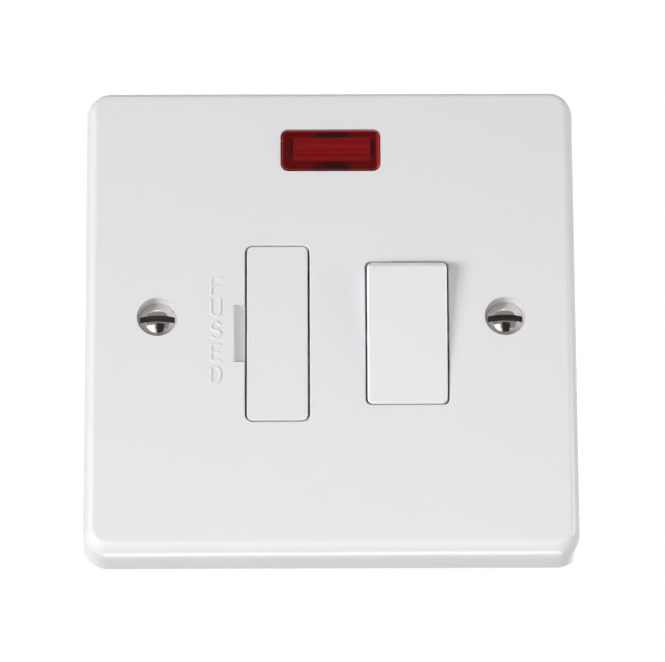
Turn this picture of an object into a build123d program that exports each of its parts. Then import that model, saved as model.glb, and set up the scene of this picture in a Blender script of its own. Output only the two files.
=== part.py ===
from build123d import *
import os
from math import atan, cos, radians, sin, tan

# Millimetres. Seen from the room, X runs right, Z up and Y into the wall.
# The wall surface is y = 0, and the origin lies midway between the fixing screws.

# Front plate
PLATE_SIZE = 86.0
PLATE_DEPTH = 8.9
PLATE_WALL = 2.6
PLATE_RIM = 2.4
PLATE_CORNER_R = 4.5
PLATE_EDGE_W = 2.2
PLATE_EDGE_D = 4.8
PLATE_EDGE_STEPS = 9
PLATE_DRAFT = 1.6
HOLLOW_CORNER_R = 2.1
LIP = 0.25
RIB_T = 1.2
RIB_H = 2.6
RIB_PLACES = (-19.0, 19.0)
MECH_Z = -3.0
PASS = 1.0
INNER_SIDES = 16

# Fixing screws and the wells they sit in
FIX_SPACING = 60.3
FIX_THREAD_R = 1.75
FIX_UNDERCUT = 0.25
FIX_LENGTH = 25.0
FIX_HEAD_R = 3.3
FIX_CROWN = 1.2
FIX_SLOT_W = 1.1
FIX_SLOT_DEPTH = 1.0
FIX_WELL_GAP = 0.25
FIX_WELL_SINK = 1.9
FIX_HOLE_GAP = 0.3
FIX_BOSS_WALL = 1.85
FIX_BOSS_SETBACK = 0.6
SEAT_GAP = 0.05

# Rear housing and its screws
HOUSING_DEPTH = 21.0
HOUSING_H = 57.0
HOUSING_WALL = 1.8
HOUSING_CORNER_R = 2.6
HOUSING_BEVEL = 0.8
HOUSING_BOSS_GAP = 0.25
LOCATE_GAP = 0.15
SUPPORT_T = 1.6
COLUMN_WALL = 0.8
COLUMN_SEAT = 3.5
COLUMN_BLOCK_GAP = 0.1
CLAMP_HEAD_R = 2.3
CLAMP_HEAD_H = 1.7
CLAMP_SHANK_R = 1.4
CLAMP_LENGTH = 8.0
CLAMP_WELL_GAP = 0.2
CLAMP_BOSS_SETBACK = 1.0
THREAD_GAP = 0.05
TONGUE_T = 1.1
TONGUE_SETBACK = 0.3

# Rocker, its bearings and plungers
ROCKER_X = 13.14
ROCKER_HOLE_W = 14.4
ROCKER_HOLE_H = 26.33
ROCKER_CORNER_R = 1.0
ROCKER_BEVEL = 0.35
ROCKER_BROW = 0.75
ROCKER_SIDE_GAP = 0.28
ROCKER_END_GAP = 0.1
ROCKER_PROUD = 1.4
ROCKER_TILT = 6.0
ROCKER_WALL = 1.5
ROCKER_SKIRT = 1.6
PIVOT_SETBACK = 0.9
TRUNNION_R = 1.3
BEARING_GAP = 0.06
EAR_GAP = 0.25
EAR_T = 1.5
EAR_H = 6.4
EAR_REACH = 2.6
POLE_OFFSET = 3.6
PLUNGER_R = 1.45
PLUNGER_GAP = 0.08
PLUNGER_LEN = 6.6
PLUNGER_NOSE = 0.9
PLUNGER_STAND = 0.15
TUBE_WALL = 0.6
TUBE_REACH = 6.0
SPRING_BORE_GAP = 0.3
SPRING_WIRE = 0.32
SPRING_TURNS = 4
SPRING_STEPS = 7
SPRING_END_GAP = 0.05

# Switch contacts
STRIP_T = 0.8
STRIP_W = 4.0
PAD_W = 4.4
BLADE_T = 0.9
BLADE_W = 4.4
BLADE_L = 18.6
BLADE_ARM = 7.2
BLADE_TILT = 10.0
RIDGE_R = 0.35
RIDGE_GAP = 0.1
RIDGE_BASE = 2.6
TIP_R = 1.6
TIP_H = 0.8
FIXED_TIP_H = 0.9
TIP_GAP = 0.1
TIP_MARGIN = 0.4

# Fuse carrier, cartridge fuse and clips
CARRIER_X = -9.325
CARRIER_HOLE_W = 11.18
CARRIER_HOLE_H = 32.42
CARRIER_CORNER_R = 1.35
CARRIER_GAP = 0.3
CARRIER_END_GAP = 0.15
CARRIER_FACE = 2.4
CARRIER_END_T = 1.6
CARRIER_SIDE_GAP = 0.45
CRADLE_T = 1.5
CRADLE_L = 10.0
CRADLE_REACH = 2.1
CRADLE_GAP = 0.15
GUIDE_T = 1.3
GUIDE_REACH = 6.8
NOTCH_W = 2.0
NOTCH_H = 10.6
NOTCH_DROP = 0.1
NOTCH_EDGE = 0.6
NOTCH_DEPTH = 2.0
FUSE_L = 25.4
FUSE_R = 3.175
FUSE_SETBACK = 0.7
FUSE_END_GAP = 0.3
CAP_L = 6.0
CAP_T = 0.3
CLIP_T = 0.6
CLIP_W = 5.0
CLIP_GAP = 0.08
CLIP_BASE_GAP = 0.5
CLIP_GRIP = 1.6
CLIP_LIP = 0.8
CLIP_RISER_GAP = 1.45

# Terminals
BLOCK_W = 8.0
BLOCK_D = 10.0
BLOCK_H = 10.0
WAY_SIZE = 5.2
WAY_WALL = 1.4
GRUB_R = 2.0
GRUB_LIFT = 1.2
GRUB_TIP_GAP = 0.15
GRUB_SLOT_W = 0.8
GRUB_SLOT_DEPTH = 0.9
WINDOW_GAP = 0.5
WINDOW_H = 7.4
TAB_REACH = 3.0
EARTH_SETBACK = 1.2

# Neon indicator
LENS_W = 17.3
LENS_H = 7.7
LENS_R = 1.3
LENS_GAP = 0.1
LENS_PROUD = 0.25
LENS_BEVEL = 0.35
LENS_REACH = 1.6
LENS_EAR_W = 1.3
LENS_EAR_H = 5.0
LENS_EAR_T = 1.0
LENS_CAVITY_W = 13.6
LENS_CAVITY_H = 4.4
LENS_FACE_T = 1.3
LENS_RIBS = 4
LENS_RIB_H = 0.3
LENS_RIB_W = 0.4
LENS_FLOOR_GAP = 0.3
LAMP_GAP = 0.25
LAMP_L = 10.0
LAMP_PINCH_L = 1.4
LAMP_PINCH_T = 1.2
LAMP_REST = 0.2
RESISTOR_R = 1.25
RESISTOR_L = 6.4
LEAD_R = 0.55
LEAD_STUB = 1.3
LEAD_SPLAY = 0.7
LEAD_PASS_W = 3.6
LEAD_PASS_Y = 4.2

# Radii and widths that follow the piece they fit
FIX_NECK_R = FIX_THREAD_R - FIX_UNDERCUT
FIX_HOLE_R = FIX_THREAD_R + FIX_HOLE_GAP
FIX_WELL_R = FIX_HEAD_R + FIX_WELL_GAP
FIX_BOSS_R = FIX_WELL_R + FIX_BOSS_WALL
CLAMP_WELL_R = CLAMP_HEAD_R + CLAMP_WELL_GAP
CLAMP_BOSS_W = 2 * (SUPPORT_T + CLAMP_WELL_R - HOUSING_WALL - LOCATE_GAP)
COLUMN_W = 2 * (CLAMP_WELL_R + COLUMN_WALL)
TUBE_BORE_R = PLUNGER_R + PLUNGER_GAP
TUBE_W = 2 * (TUBE_BORE_R + TUBE_WALL)
SPRING_R = TUBE_BORE_R - SPRING_BORE_GAP - SPRING_WIRE / 2
BARREL_R = FUSE_R - CAP_T
CLIP_RISER_OFFSET = FUSE_R + CLIP_GAP + CLIP_T + CLIP_RISER_GAP
LAMP_R = LENS_CAVITY_H / 2 - LAMP_GAP
WINDOW_W = WAY_SIZE + 2 * WINDOW_GAP

# Levels along Y, from the room towards the wall
Y_FRONT = -PLATE_DEPTH
Y_INNER = Y_FRONT + PLATE_WALL
Y_FIX_RIM = Y_FRONT + FIX_WELL_SINK + FIX_WELL_GAP - SEAT_GAP
Y_PIVOT = Y_INNER + PIVOT_SETBACK
Y_FUSE = Y_FRONT + CARRIER_FACE + FUSE_SETBACK + FUSE_R
Y_CLIP = Y_FUSE + FUSE_R + CLIP_BASE_GAP
Y_REAR_WALL = HOUSING_DEPTH - HOUSING_WALL
Y_BLOCK = Y_REAR_WALL - BLOCK_D
Y_STRIP = Y_BLOCK - STRIP_T
Y_WAY = Y_BLOCK + WAY_WALL + WAY_SIZE / 2
Y_EARTH = Y_REAR_WALL - EARTH_SETBACK - STRIP_T
Y_TONGUE = -TONGUE_SETBACK - TONGUE_T
Y_LAMP = Y_TONGUE - LAMP_REST - LAMP_R
Y_LENS_REAR = Y_INNER + LENS_REACH
BLADE_SIN = sin(radians(BLADE_TILT))
BLADE_COS = cos(radians(BLADE_TILT))
Y_RIDGE = Y_STRIP - FIXED_TIP_H - (TIP_H + TIP_GAP) * BLADE_COS - BLADE_ARM * BLADE_SIN
Z_FIXED_TIP = MECH_Z + BLADE_ARM * BLADE_COS - TIP_H * BLADE_SIN

# Places across the plate
FIX_X = FIX_SPACING / 2
HOUSING_W = FIX_SPACING - 2 * (FIX_BOSS_R + HOUSING_BOSS_GAP)
HOUSING_TOP = MECH_Z + HOUSING_H / 2
HOUSING_BOTTOM = MECH_Z - HOUSING_H / 2
NEON_Z = HOUSING_TOP + LOCATE_GAP + RIB_T + LENS_FLOOR_GAP + LENS_H / 2
COLUMN_X = HOUSING_W / 2 - SUPPORT_T - CLAMP_WELL_R
BLOCK_X = COLUMN_X - COLUMN_W / 2 - COLUMN_BLOCK_GAP - BLOCK_W / 2
BLOCK_Z = HOUSING_H / 2 - HOUSING_WALL - BLOCK_H / 2
COLUMN_Z = BLOCK_Z - BLOCK_H / 2 - SEAT_GAP
COLUMNS = [(-COLUMN_X, MECH_Z - COLUMN_Z), (COLUMN_X, MECH_Z + COLUMN_Z)]
SUPPLY_Z = MECH_Z + BLOCK_Z
LOAD_Z = MECH_Z - BLOCK_Z
CLIP_Z = FUSE_L / 2 - CAP_L / 2
PAD_TOP = Z_FIXED_TIP + TIP_R + TIP_MARGIN + STRIP_W / 2
LIVE_X = ROCKER_X - POLE_OFFSET
NEUTRAL_X = ROCKER_X + POLE_OFFSET
NECK_X = (BLOCK_X + NEUTRAL_X) / 2

# Rocker sizes about its own pivot
ROCKER_FACE = Y_FRONT - ROCKER_PROUD - Y_PIVOT
ROCKER_W = ROCKER_HOLE_W - 2 * ROCKER_SIDE_GAP
ROCKER_HALF = (
    ROCKER_HOLE_H / 2 - ROCKER_END_GAP + ROCKER_FACE * sin(radians(ROCKER_TILT))
) / cos(radians(ROCKER_TILT))
ROCKER_CEILING = ROCKER_FACE + ROCKER_WALL
PLUNGER_TIP = Y_RIDGE - BLADE_T - PLUNGER_STAND - Y_PIVOT
PLUNGER_HEEL = PLUNGER_TIP - PLUNGER_LEN
EAR_NEAR = ROCKER_HOLE_W / 2 + EAR_GAP


def slab(sketch, y_room, y_wall):
    """A sketch of X and Z made solid between two levels along Y."""
    return extrude(Plane.XZ.offset(-y_wall) * sketch, amount=y_wall - y_room)


def box(x0, x1, y0, y1, z0, z1):
    """A box between two places along each axis."""
    middle = Pos((x0 + x1) / 2, (y0 + y1) / 2, (z0 + z1) / 2)
    return middle * Box(x1 - x0, y1 - y0, z1 - z0)


def plate_box(x, z, width, height, y_room, y_wall):
    """A box centred on a place of the plate."""
    return slab(Pos(x, z) * Rectangle(width, height), y_room, y_wall)


def pin(x, z, radius, y_room, y_wall):
    """A round bar along Y."""
    return slab(Pos(x, z) * Circle(radius), y_room, y_wall)


def inner_pin(x, z, radius, y_room, y_wall):
    """A bar along Y with flat sides, for small pieces inside the unit and their holes."""
    return slab(Pos(x, z) * RegularPolygon(radius, INNER_SIDES), y_room, y_wall)


def rod(y, z, radius, x0, x1):
    """A round bar along X."""
    return extrude(Plane.YZ.offset(x0) * (Pos(y, z) * Circle(radius)), amount=x1 - x0)


def cone(x, z, room_r, wall_r, y_room, y_wall):
    """A cone along Y with a radius at each end."""
    turned = Rot(90, 0, 0) * Cone(wall_r, room_r, y_wall - y_room)
    return Pos(x, (y_room + y_wall) / 2, z) * turned


def window(x, z, width, height, radius):
    """A rounded opening drawn on the plate."""
    return Pos(x, z) * RectangleRounded(width, height, radius)


def soften(solid, radius):
    """Round the edges that face the room."""
    return fillet(solid.edges().group_by(Axis.Y)[0], radius)


def bevel(solid, size):
    """Bevel the edges that face the room."""
    return chamfer(solid.edges().group_by(Axis.Y)[0], size)


def frame(width, height, wall, z, y_room, y_wall):
    """A rectangular wall of the given inner size, centred on x = 0."""
    outer = plate_box(0, z, width + 2 * wall, height + 2 * wall, y_room, y_wall)
    return outer - plate_box(0, z, width, height, y_room - PASS, y_wall + PASS)


def plate_windows():
    """The three openings of the plate: carrier, rocker and lens."""
    return [
        window(CARRIER_X, MECH_Z, CARRIER_HOLE_W, CARRIER_HOLE_H, CARRIER_CORNER_R),
        window(ROCKER_X, MECH_Z, ROCKER_HOLE_W, ROCKER_HOLE_H, ROCKER_CORNER_R),
        window(0, NEON_Z, LENS_W + 2 * LENS_GAP, LENS_H + 2 * LENS_GAP, LENS_R + LENS_GAP),
    ]


def plate_levels():
    """Depth and inset of the plate's side: a drafted wall, then an edge that turns to the face."""
    wall = PLATE_DEPTH - PLATE_EDGE_D
    draft = wall * tan(radians(PLATE_DRAFT))
    levels = [(0, 0), (wall, draft)]
    for step in range(1, PLATE_EDGE_STEPS + 1):
        lean = radians(90 - 90 * step / PLATE_EDGE_STEPS)
        turn = atan(PLATE_EDGE_W / PLATE_EDGE_D * tan(lean))
        inset = draft + PLATE_EDGE_W * (1 - sin(turn))
        levels.append((wall + PLATE_EDGE_D * cos(turn), inset))
    return levels


def front_shell():
    """The plate as a shallow hollow tray with its three windows."""
    shell = loft(
        [
            Plane.XZ.offset(depth)
            * RectangleRounded(
                PLATE_SIZE - 2 * inset, PLATE_SIZE - 2 * inset, PLATE_CORNER_R - inset
            )
            for depth, inset in plate_levels()
        ],
        ruled=True,
    )
    hollow_size = PLATE_SIZE - 2 * PLATE_RIM
    shell -= slab(RectangleRounded(hollow_size, hollow_size, HOLLOW_CORNER_R), Y_INNER, 0)
    for sketch in plate_windows():
        shell -= slab(sketch, Y_FRONT - PASS, Y_INNER + PASS)
    lips = [
        edge
        for edge in shell.edges().group_by(Axis.Y)[0]
        if abs(edge.center().X) < FIX_X and HOUSING_BOTTOM < edge.center().Z < HOUSING_TOP
    ]
    return chamfer(lips, LIP)


def plate_ribs():
    """The ribs behind the plate that place the housing, the lens and the guide."""
    inner_w = HOUSING_W + 2 * LOCATE_GAP
    inner_h = HOUSING_H + 2 * LOCATE_GAP
    y_rib = Y_INNER + RIB_H
    ribs = frame(inner_w, inner_h, RIB_T, MECH_Z, Y_INNER, y_rib)
    rim = PLATE_SIZE / 2 - PLATE_RIM
    side = inner_w / 2 + RIB_T
    foot = MECH_Z - inner_h / 2 - RIB_T
    crown = MECH_Z + inner_h / 2 + RIB_T
    for place in RIB_PLACES:
        ribs += box(-rim, -side, Y_INNER, y_rib, place - RIB_T / 2, place + RIB_T / 2)
        ribs += box(side, rim, Y_INNER, y_rib, place - RIB_T / 2, place + RIB_T / 2)
        ribs += box(place - RIB_T / 2, place + RIB_T / 2, Y_INNER, y_rib, -rim, foot)
        ribs += box(place - RIB_T / 2, place + RIB_T / 2, Y_INNER, y_rib, crown, rim)
    pocket = LENS_W / 2 + LENS_EAR_W + LENS_FLOOR_GAP
    lintel = NEON_Z + LENS_H / 2 + LENS_FLOOR_GAP
    y_pocket = Y_TONGUE - SEAT_GAP
    ribs += box(-pocket - RIB_T, -pocket, Y_INNER, y_pocket, crown - RIB_T, lintel)
    ribs += box(pocket, pocket + RIB_T, Y_INNER, y_pocket, crown - RIB_T, lintel)
    ribs += box(-pocket - RIB_T, pocket + RIB_T, Y_INNER, y_pocket, lintel, lintel + RIB_T)
    guide = Rectangle(CARRIER_HOLE_W + 2 * GUIDE_T, CARRIER_HOLE_H + 2 * GUIDE_T)
    guide = Pos(CARRIER_X, MECH_Z) * guide - plate_windows()[0]
    return ribs + slab(guide, Y_INNER, Y_INNER + GUIDE_REACH)


def rocker_ears():
    """The two bearing ears beside the rocker window, without their slots."""
    middle = EAR_NEAR + EAR_T / 2
    left, right = [
        plate_box(x, MECH_Z, EAR_T, EAR_H, Y_INNER, Y_PIVOT + EAR_REACH)
        for x in (ROCKER_X - middle, ROCKER_X + middle)
    ]
    return left + right


def bearing_slots():
    """The slots, open to the rear, that the rocker's trunnions drop into."""
    radius = TRUNNION_R + BEARING_GAP
    reach = EAR_NEAR + EAR_T + PASS
    seat = rod(Y_PIVOT, MECH_Z, radius, ROCKER_X - reach, ROCKER_X + reach)
    mouth = box(
        ROCKER_X - reach,
        ROCKER_X + reach,
        Y_PIVOT,
        Y_PIVOT + EAR_REACH + PASS,
        MECH_Z - radius,
        MECH_Z + radius,
    )
    return seat + mouth


def lever_notch():
    """The sloping notch beside the fuse carrier for a screwdriver blade."""
    right = CARRIER_X - CARRIER_HOLE_W / 2 + LIP
    left = CARRIER_X - CARRIER_HOLE_W / 2 - NOTCH_W
    outline = Polyline(
        (left, Y_FRONT - PASS),
        (left, Y_FRONT + NOTCH_EDGE),
        (right, Y_FRONT + NOTCH_DEPTH),
        (right, Y_FRONT - PASS),
        close=True,
    )
    bottom = MECH_Z - NOTCH_DROP - NOTCH_H / 2
    return Pos(0, 0, bottom) * extrude(make_face(outline), amount=NOTCH_H)


def fixing_well(x):
    """The stepped hole that a fixing screw passes through."""
    y_seat = Y_FRONT + FIX_WELL_SINK
    y_neck = y_seat + FIX_WELL_R - FIX_HOLE_R
    well = pin(x, 0, FIX_WELL_R, Y_FRONT - PASS, y_seat)
    well += cone(x, 0, FIX_WELL_R, FIX_HOLE_R, y_seat, y_neck)
    return well + pin(x, 0, FIX_HOLE_R, y_neck, PASS)


def front_plate():
    """The moulded plate with its bosses, ribs, ears and openings."""
    plate = front_shell() + plate_ribs() + rocker_ears()
    for x in (-FIX_X, FIX_X):
        plate += pin(x, 0, FIX_BOSS_R, Y_INNER, -FIX_BOSS_SETBACK)
        plate -= fixing_well(x)
    for x, z in COLUMNS:
        plate += plate_box(x, z, CLAMP_BOSS_W, CLAMP_BOSS_W, Y_INNER, -CLAMP_BOSS_SETBACK)
        plate -= inner_pin(x, z, CLAMP_SHANK_R + THREAD_GAP, Y_INNER, PASS)
    plate -= bearing_slots()
    plate -= lever_notch()
    return plate - lead_pass()


def lead_pass():
    """The gap over the housing where the indicator's leads cross."""
    middle = sum(lead_columns()) / 2
    return box(
        middle - LEAD_PASS_W / 2,
        middle + LEAD_PASS_W / 2,
        Y_INNER,
        Y_INNER + LEAD_PASS_Y,
        HOUSING_TOP - HOUSING_WALL,
        HOUSING_TOP + LOCATE_GAP + RIB_T,
    )


def fixing_screw(x):
    """One slotted raised countersunk screw with a plain neck under its head."""
    y_neck = Y_FIX_RIM + FIX_HEAD_R - FIX_NECK_R
    y_thread = -FIX_BOSS_SETBACK + SEAT_GAP
    y_tip = Y_FIX_RIM + FIX_LENGTH
    crown = TangentArc((0, Y_FIX_RIM - FIX_CROWN), (FIX_HEAD_R, Y_FIX_RIM), tangent=(1, 0))
    side = Polyline(
        (FIX_HEAD_R, Y_FIX_RIM),
        (FIX_NECK_R, y_neck),
        (FIX_NECK_R, y_thread),
        (FIX_THREAD_R, y_thread),
        (FIX_THREAD_R, y_tip),
        (0, y_tip),
        (0, Y_FIX_RIM - FIX_CROWN),
    )
    screw = revolve(make_face(crown + side), axis=Axis.Y)
    slot = plate_box(
        0,
        0,
        2 * FIX_HEAD_R + PASS,
        FIX_SLOT_W,
        Y_FIX_RIM - FIX_CROWN - PASS,
        Y_FIX_RIM - FIX_CROWN + FIX_SLOT_DEPTH,
    )
    return Pos(x, 0, 0) * (screw - slot)


def neon_lens():
    """The window moulding: a hollow block with two ears behind the plate."""
    y_face = Y_FRONT - LENS_PROUD
    block = slab(window(0, NEON_Z, LENS_W, LENS_H, LENS_R), y_face, Y_LENS_REAR)
    block = bevel(block, LENS_BEVEL)
    ear_span = LENS_W + 2 * LENS_EAR_W
    block += plate_box(0, NEON_Z, ear_span, LENS_EAR_H, Y_INNER, Y_INNER + LENS_EAR_T)
    y_ceiling = Y_FRONT + LENS_FACE_T
    y_open = Y_LENS_REAR + PASS
    block -= plate_box(0, NEON_Z, LENS_CAVITY_W, LENS_CAVITY_H, y_ceiling, y_open)
    pitch = LENS_CAVITY_H / (LENS_RIBS + 1)
    for row in range(LENS_RIBS):
        z_rib = NEON_Z - LENS_CAVITY_H / 2 + pitch * (row + 1)
        block += plate_box(
            0, z_rib, LENS_CAVITY_W, LENS_RIB_W, y_ceiling, y_ceiling + LENS_RIB_H
        )
    return block


def rocker_place():
    """Where the rocker stands at rest, with its foot pressed in."""
    return Pos(ROCKER_X, Y_PIVOT, MECH_Z) * Rot(ROCKER_TILT, 0, 0)


def rocker():
    """The hollow rocker with its trunnions and two plunger tubes."""
    outline = RectangleRounded(ROCKER_W, 2 * ROCKER_HALF, ROCKER_CORNER_R)
    key = bevel(slab(outline, ROCKER_FACE, ROCKER_SKIRT), ROCKER_BEVEL)
    brow = Pos(0, ROCKER_FACE, ROCKER_HALF) * Rot(-45, 0, 0)
    key -= brow * Box(ROCKER_W + PASS, 2 * ROCKER_BROW * sin(radians(45)), 2 * ROCKER_HALF)
    inner_w = ROCKER_W - 2 * ROCKER_WALL
    inner_h = 2 * (ROCKER_HALF - ROCKER_WALL)
    key -= plate_box(0, 0, inner_w, inner_h, ROCKER_CEILING, ROCKER_SKIRT + PASS)
    span = EAR_NEAR + EAR_T
    key += rod(0, 0, TRUNNION_R, -span, -inner_w / 2)
    key += rod(0, 0, TRUNNION_R, inner_w / 2, span)
    for x in (-POLE_OFFSET, POLE_OFFSET):
        key += plate_box(x, 0, TUBE_W, TUBE_W, ROCKER_CEILING, TUBE_REACH)
        key -= pin(x, 0, TUBE_BORE_R, ROCKER_CEILING, TUBE_REACH + PASS)
    return rocker_place() * key


def plunger(x):
    """One plunger with a wedge-shaped nose, standing out of its tube."""
    half = PLUNGER_R + PASS
    wedge = Polyline(
        (PLUNGER_HEEL, -half),
        (PLUNGER_TIP - PLUNGER_NOSE - PASS, -half),
        (PLUNGER_TIP, PLUNGER_NOSE - PLUNGER_R),
        (PLUNGER_TIP, PLUNGER_R - PLUNGER_NOSE),
        (PLUNGER_TIP - PLUNGER_NOSE - PASS, half),
        (PLUNGER_HEEL, half),
        close=True,
    )
    sides = extrude(Plane.YZ.offset(x - half) * make_face(wedge), amount=2 * half)
    shape = pin(x, 0, PLUNGER_R, PLUNGER_HEEL, PLUNGER_TIP)
    return rocker_place() * (shape & sides)


def plunger_spring(x):
    """The coil spring between the bottom of a tube and its plunger."""
    foot = ROCKER_CEILING + SPRING_END_GAP + SPRING_WIRE
    head = PLUNGER_HEEL - SPRING_END_GAP - SPRING_WIRE
    count = SPRING_TURNS * SPRING_STEPS
    turn = radians(360 / SPRING_STEPS)
    route = [
        (
            x + SPRING_R * cos(turn * step),
            foot + (head - foot) * step / count,
            SPRING_R * sin(turn * step),
        )
        for step in range(count + 1)
    ]
    return rocker_place() * bent_wire(Rectangle(SPRING_WIRE, SPRING_WIRE), route)


def blade_place(x):
    """Where a see-saw blade stands at rest, with its upper end made."""
    return Pos(x, Y_RIDGE, MECH_Z) * Rot(-BLADE_TILT, 0, 0)


def moving_contact(x):
    """A see-saw blade with the groove that it rocks on."""
    blade = plate_box(0, 0, BLADE_W, BLADE_L, -BLADE_T, 0)
    groove = rod(0, 0, RIDGE_R + RIDGE_GAP, -BLADE_W, BLADE_W)
    return blade_place(x) * (blade - groove)


def moving_tip(x):
    """The flat contact button at the upper end of a blade."""
    return blade_place(x) * inner_pin(0, BLADE_ARM, TIP_R, 0, TIP_H)


def fixed_tip(x):
    """The contact button, set square to the closed blade, that its tip meets."""
    face = TIP_H + TIP_GAP
    button = blade_place(x) * inner_pin(0, BLADE_ARM, TIP_R, face, face + 2 * FIXED_TIP_H)
    return button & plate_box(x, Z_FIXED_TIP, PAD_W, 2 * PAD_W, Y_RIDGE, Y_STRIP)


def strip(x0, x1, z0, z1):
    """A flat length of contact strip lying on the terminals' front plane."""
    return box(x0, x1, Y_STRIP, Y_BLOCK, z0, z1)


def ridge(x):
    """The knife edge that a blade rocks on."""
    y_flank = Y_RIDGE + RIDGE_R * sin(radians(30))
    half = RIDGE_R * cos(radians(30))
    outline = Polyline(
        (y_flank, MECH_Z - half),
        (Y_STRIP, MECH_Z - RIDGE_BASE / 2),
        (Y_STRIP, MECH_Z + RIDGE_BASE / 2),
        (y_flank, MECH_Z + half),
    ) + ThreePointArc(
        (y_flank, MECH_Z + half), (Y_RIDGE - RIDGE_R, MECH_Z), (y_flank, MECH_Z - half)
    )
    return Pos(x - PAD_W / 2, 0, 0) * extrude(Plane.YZ * make_face(outline), amount=PAD_W)


def fixed_pad(x):
    """The pad of strip that carries a fixed contact."""
    foot = Z_FIXED_TIP - TIP_R - TIP_MARGIN
    return strip(x - PAD_W / 2, x + PAD_W / 2, foot, PAD_TOP)


def supply_live_strip():
    """Supply live: pad, cross arm and tab."""
    arm_foot = PAD_TOP - STRIP_W
    arm = strip(-STRIP_W / 2, LIVE_X + PAD_W / 2, arm_foot, PAD_TOP)
    tab = strip(-STRIP_W / 2, STRIP_W / 2, arm_foot, SUPPLY_Z + TAB_REACH)
    return fixed_pad(LIVE_X) + arm + tab


def supply_neutral_strip():
    """Supply neutral: pad and straight tab."""
    left = NECK_X - STRIP_W / 2
    tab = strip(left, left + STRIP_W, PAD_TOP - STRIP_T, SUPPLY_Z + TAB_REACH)
    return fixed_pad(NEUTRAL_X) + tab


def fuse_clip(z, side):
    """A spring clip for one fuse cap with the riser that carries it."""
    inner = FUSE_R + CLIP_GAP
    y_grip = Y_FUSE - CLIP_GRIP
    half = Polyline(
        (0, Y_CLIP),
        (inner, Y_CLIP),
        (inner, y_grip),
        (inner + CLIP_LIP, y_grip - CLIP_LIP),
        (inner + CLIP_LIP + CLIP_T, y_grip - CLIP_LIP),
        (inner + CLIP_T, y_grip),
        (inner + CLIP_T, Y_CLIP + CLIP_T),
        (0, Y_CLIP + CLIP_T),
        close=True,
    )
    jaw = extrude(make_face(half), amount=CLIP_W)
    jaws = jaw + mirror(jaw, about=Plane.YZ)
    riser = box(
        CLIP_RISER_OFFSET, CLIP_RISER_OFFSET + CLIP_T, Y_CLIP, Y_BLOCK, 0, CLIP_W
    )
    foot = box(0, CLIP_RISER_OFFSET, Y_CLIP, Y_CLIP + CLIP_T, 0, CLIP_W)
    clip = jaws + foot + riser
    if side < 0:
        clip = mirror(clip, about=Plane.YZ)
    return Pos(CARRIER_X, 0, z - CLIP_W / 2) * clip


def live_link():
    """Switched live: the ridge, the arm to the fuse and the upper clip."""
    z_clip = MECH_Z + CLIP_Z
    low = MECH_Z - STRIP_W / 2
    right = CARRIER_X + CLIP_RISER_OFFSET + CLIP_T
    arm = strip(right - STRIP_W, LIVE_X + PAD_W / 2, low, low + STRIP_W)
    post = strip(right - STRIP_W, right, low, z_clip + CLIP_W / 2)
    return arm + post + ridge(LIVE_X) + fuse_clip(z_clip, 1)


def neutral_link():
    """Switched neutral: the ridge and the tab to the load terminal."""
    low = MECH_Z - STRIP_W / 2
    pad = strip(NEUTRAL_X - PAD_W / 2, NEUTRAL_X + PAD_W / 2, low, low + STRIP_W)
    left = NECK_X - STRIP_W / 2
    tab = strip(left, left + STRIP_W, LOAD_Z - TAB_REACH, low + STRIP_W)
    return pad + tab + ridge(NEUTRAL_X)


def load_live_clip():
    """Fused live: the lower clip and the tab to the load terminal."""
    z_clip = MECH_Z - CLIP_Z
    left = CARRIER_X - CLIP_RISER_OFFSET - CLIP_T
    tab = strip(left, -BLOCK_X + STRIP_W / 2, LOAD_Z - TAB_REACH, z_clip + CLIP_W / 2)
    return tab + fuse_clip(z_clip, -1)


def earth_link():
    """The strip along the rear wall that joins the two earth terminals."""
    y_back = Y_EARTH + STRIP_T
    half = STRIP_W / 2
    low, high = MECH_Z - half, MECH_Z + half
    post = box(-half, half, Y_EARTH, y_back, LOAD_Z + BLOCK_H / 2, high)
    bar = box(-BLOCK_X - half, half, Y_EARTH, y_back, low, high)
    stub_top = SUPPLY_Z - BLOCK_H / 2
    return post + bar + box(-BLOCK_X - half, half - BLOCK_X, Y_EARTH, y_back, low, stub_top)


def terminal(x, z):
    """A brass terminal block with its square wire way and screw hole."""
    block = plate_box(x, z, BLOCK_W, BLOCK_H, Y_BLOCK, Y_REAR_WALL)
    block -= Pos(x, Y_WAY, z) * Box(WAY_SIZE, WAY_SIZE, BLOCK_H + PASS)
    return block - inner_pin(x, z, GRUB_R, Y_WAY, Y_REAR_WALL + PASS)


def grub_screw(x, z):
    """A slotted headless clamping screw, backed off clear of the wire way."""
    top = Y_REAR_WALL + GRUB_LIFT
    tip = Y_WAY + WAY_SIZE / 2 + GRUB_TIP_GAP
    screw = inner_pin(x, z, GRUB_R - THREAD_GAP, tip, top)
    return screw - plate_box(x, z, 2 * GRUB_R, GRUB_SLOT_W, top - GRUB_SLOT_DEPTH, top)


def terminal_places():
    """Place of each terminal, by the name of its node."""
    return {
        "supply_earth_terminal": (-BLOCK_X, SUPPLY_Z),
        "supply_live_terminal": (0, SUPPLY_Z),
        "supply_neutral_terminal": (BLOCK_X, SUPPLY_Z),
        "load_live_terminal": (-BLOCK_X, LOAD_Z),
        "load_earth_terminal": (0, LOAD_Z),
        "load_neutral_terminal": (BLOCK_X, LOAD_Z),
    }


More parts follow.
